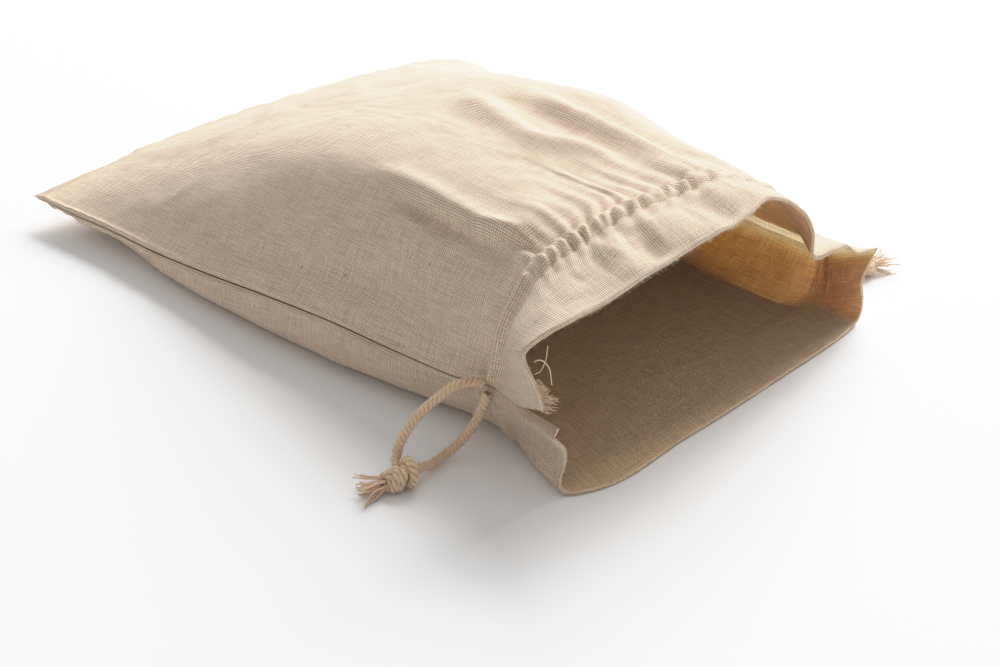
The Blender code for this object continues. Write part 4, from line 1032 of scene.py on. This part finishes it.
def hem_strip(outer, inner):
    """The rolled edge of a hem alone, as a base for its loose fibres."""
    out = unit(outer[0] - outer[1]) * EDGE_ROLL * DOUBLED_CLOTH
    rows = np.stack([outer[0], (outer[0] + inner[0]) / 2 + out, inner[0]])
    numbers = np.arange(3 * outer.shape[1]).reshape(3, -1)
    faces = np.stack([numbers[:-1, 1:], numbers[:-1, :-1], numbers[1:, :-1], numbers[1:, 1:]], axis=-1)
    base = bpy.data.meshes.new("hem_strip")
    base.from_pydata(mesh_place(rows.reshape(-1, 3)).tolist(), [], faces.reshape(-1, 4).tolist())
    return base


# ---- the bag
def dress(piece):
    """Ride on the bag's one body."""
    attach(piece, "root")
    return piece


def dress_bag():
    """Both panels with their fuzzy hems, the front's stitch lines and its frayed corner."""
    panels = build_panels()
    cloth, extras = {}, {}
    for side, across, flip, slot in (("front", FRONT_ACROSS, False, "natural_linen"),
                                     ("back", BACK_ACROSS, True, "natural_linen_back")):
        outer, inner = panels[side]
        cloth[side] = sheet_piece(f"{side}_cloth", outer, inner, across, flip)
        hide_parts(f"{side}_panel")
        dress(cloth[side])
        extras[side] = [dress(fuzz(f"{side}_hem_fibres", hem_strip(outer, inner), *HEM_FIBRES))]
    outer, inner = panels["front"]
    lifted = outer + unit(outer - inner) * STITCH_THREAD * STITCH_LIFT
    stitched_columns = (COLUMNS > STITCH_MARGIN) & (COLUMNS < CUT_WIDTH - STITCH_MARGIN)
    lines = [lifted[np.abs(past).argmin(), stitched_columns] for past in (ROWS - HEADING, PAST_CHANNEL)]
    extras["front"].append(dress(stitched("channel_stitches", lines)))
    extras["front"].append(dress(cord_mesh("frayed_hem_corner", frayed_edge())))


def dress_cords():
    """At each side seam two strands of rope, their knot, its frayed ends and loose fibres on them all."""
    for side, at, way, wraps, routes in (
            ("near", NEAR_KNOT_AT, NEAR_TASSEL_WAY, NEAR_WRAPS, (NEAR_CORD_UPPER, NEAR_CORD_LOWER)),
            ("far", FAR_KNOT_AT, FAR_TASSEL_WAY, FAR_WRAPS, (FAR_CORD_UPPER, FAR_CORD_LOWER))):
        wrap_parts = sum((knot_wrap(at, way, wrap) for wrap in wraps), [])
        yarn_parts = tassel_yarns(np.array(at) + unit(way) * TASSEL_AT, way)
        lines = [through(list(route) + [at], evenly(CORD_POINTS)) for route in routes]
        rope_parts = [twisted(line) for line in lines]
        knot = cord_mesh(f"{side}_knot_rope", wrap_parts)
        yarns = cord_mesh(f"{side}_frayed_ends", yarn_parts)
        ropes = [cord_mesh(f"{side}_{name}_cord", parts)
                 for name, parts in zip(("upper", "lower"), rope_parts)]
        fuzzed = cord_mesh("fuzz_base", wrap_parts + yarn_parts + rope_parts[0] + rope_parts[1])
        fibres = fuzz(f"{side}_cord_fibres", fuzzed.data, *CORD_FIBRES)
        bpy.data.objects.remove(fuzzed)
        for piece, node in ((knot, f"{side}_knot"), (yarns, f"{side}_tassel"),
                            (ropes[0], f"{side}_cord_upper"), (ropes[1], f"{side}_cord_lower")):
            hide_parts(node)
        for piece in (knot, yarns, fibres, *ropes):
            dress(piece)


# ---- studio, in metres
FLOOR_HALF = 4.0          # half the floor's side
KEY_AT = (1.50, 0.62, 1.20)
KEY_TARGET = (0.0, 0.0, 0.03)
KEY_SIZE = 1.9            # across
KEY_POWER = 108.0         # watts
CAMERA_AT = (-0.57919, -0.71430, 0.44693)
LOOKS_DOWN = 28.0         # degrees
LOOKS_RIGHT = 40.0
TONES = ((0.09, 0.17), (0.195, 0.37), (0.29, 0.53), (0.37, 0.67), (0.45, 0.795), (0.54, 0.88),
         (0.67, 0.935), (0.84, 0.975))
BRIGHTEST = 1.8           # light that is shown as full white


def studio():
    """Pale floor, a soft key light from the far right, a faint even air, soft tones, and the camera."""
    scene = bpy.context.scene
    mesh = bpy.data.meshes.new("studio_floor")
    low, high = -FLOOR_HALF, FLOOR_HALF
    mesh.from_pydata([(low, low, 0), (high, low, 0), (high, high, 0), (low, high, 0)], [], [(0, 1, 2, 3)])
    # Matt paper has no shine of its own and shows only light and soft shadow.
    mesh.materials.append(new_material("matt_paper", {
        "Base Color": colour("#F4F4F4"), "Roughness": 0.9, "Specular IOR Level": 0.2})[0])
    placed("studio_floor", mesh)

    key = bpy.data.lights.new("key_light", "AREA")
    key.shape = "DISK"
    key.size = KEY_SIZE
    key.energy = KEY_POWER
    light = placed("key_light", key)
    light.location = KEY_AT
    light.rotation_euler = (Vector(KEY_TARGET) - Vector(KEY_AT)).to_track_quat("-Z", "Y").to_euler()

    scene.world = bpy.data.worlds.new("studio_air")
    scene.world.use_nodes = True
    air = scene.world.node_tree
    fill(air, air.nodes["Background"], {"Color": colour("#FFFFFF"), "Strength": 0.50})

    scene.view_settings.view_transform = "Standard"
    scene.view_settings.use_curve_mapping = True
    curves = scene.view_settings.curve_mapping
    curves.white_level = (BRIGHTEST, BRIGHTEST, BRIGHTEST)
    for place, tone in TONES:
        curves.curves[3].points.new(place, tone)
    curves.update()

    lens = bpy.data.cameras.new("studio_camera")
    lens.lens = 70.0
    lens.sensor_width = 36.0
    scene.camera = placed("studio_camera", lens)
    scene.camera.location = CAMERA_AT
    scene.camera.rotation_euler = (math.radians(90.0 - LOOKS_DOWN), 0.0, math.radians(-LOOKS_RIGHT))


dress_bag()
dress_cords()
studio()
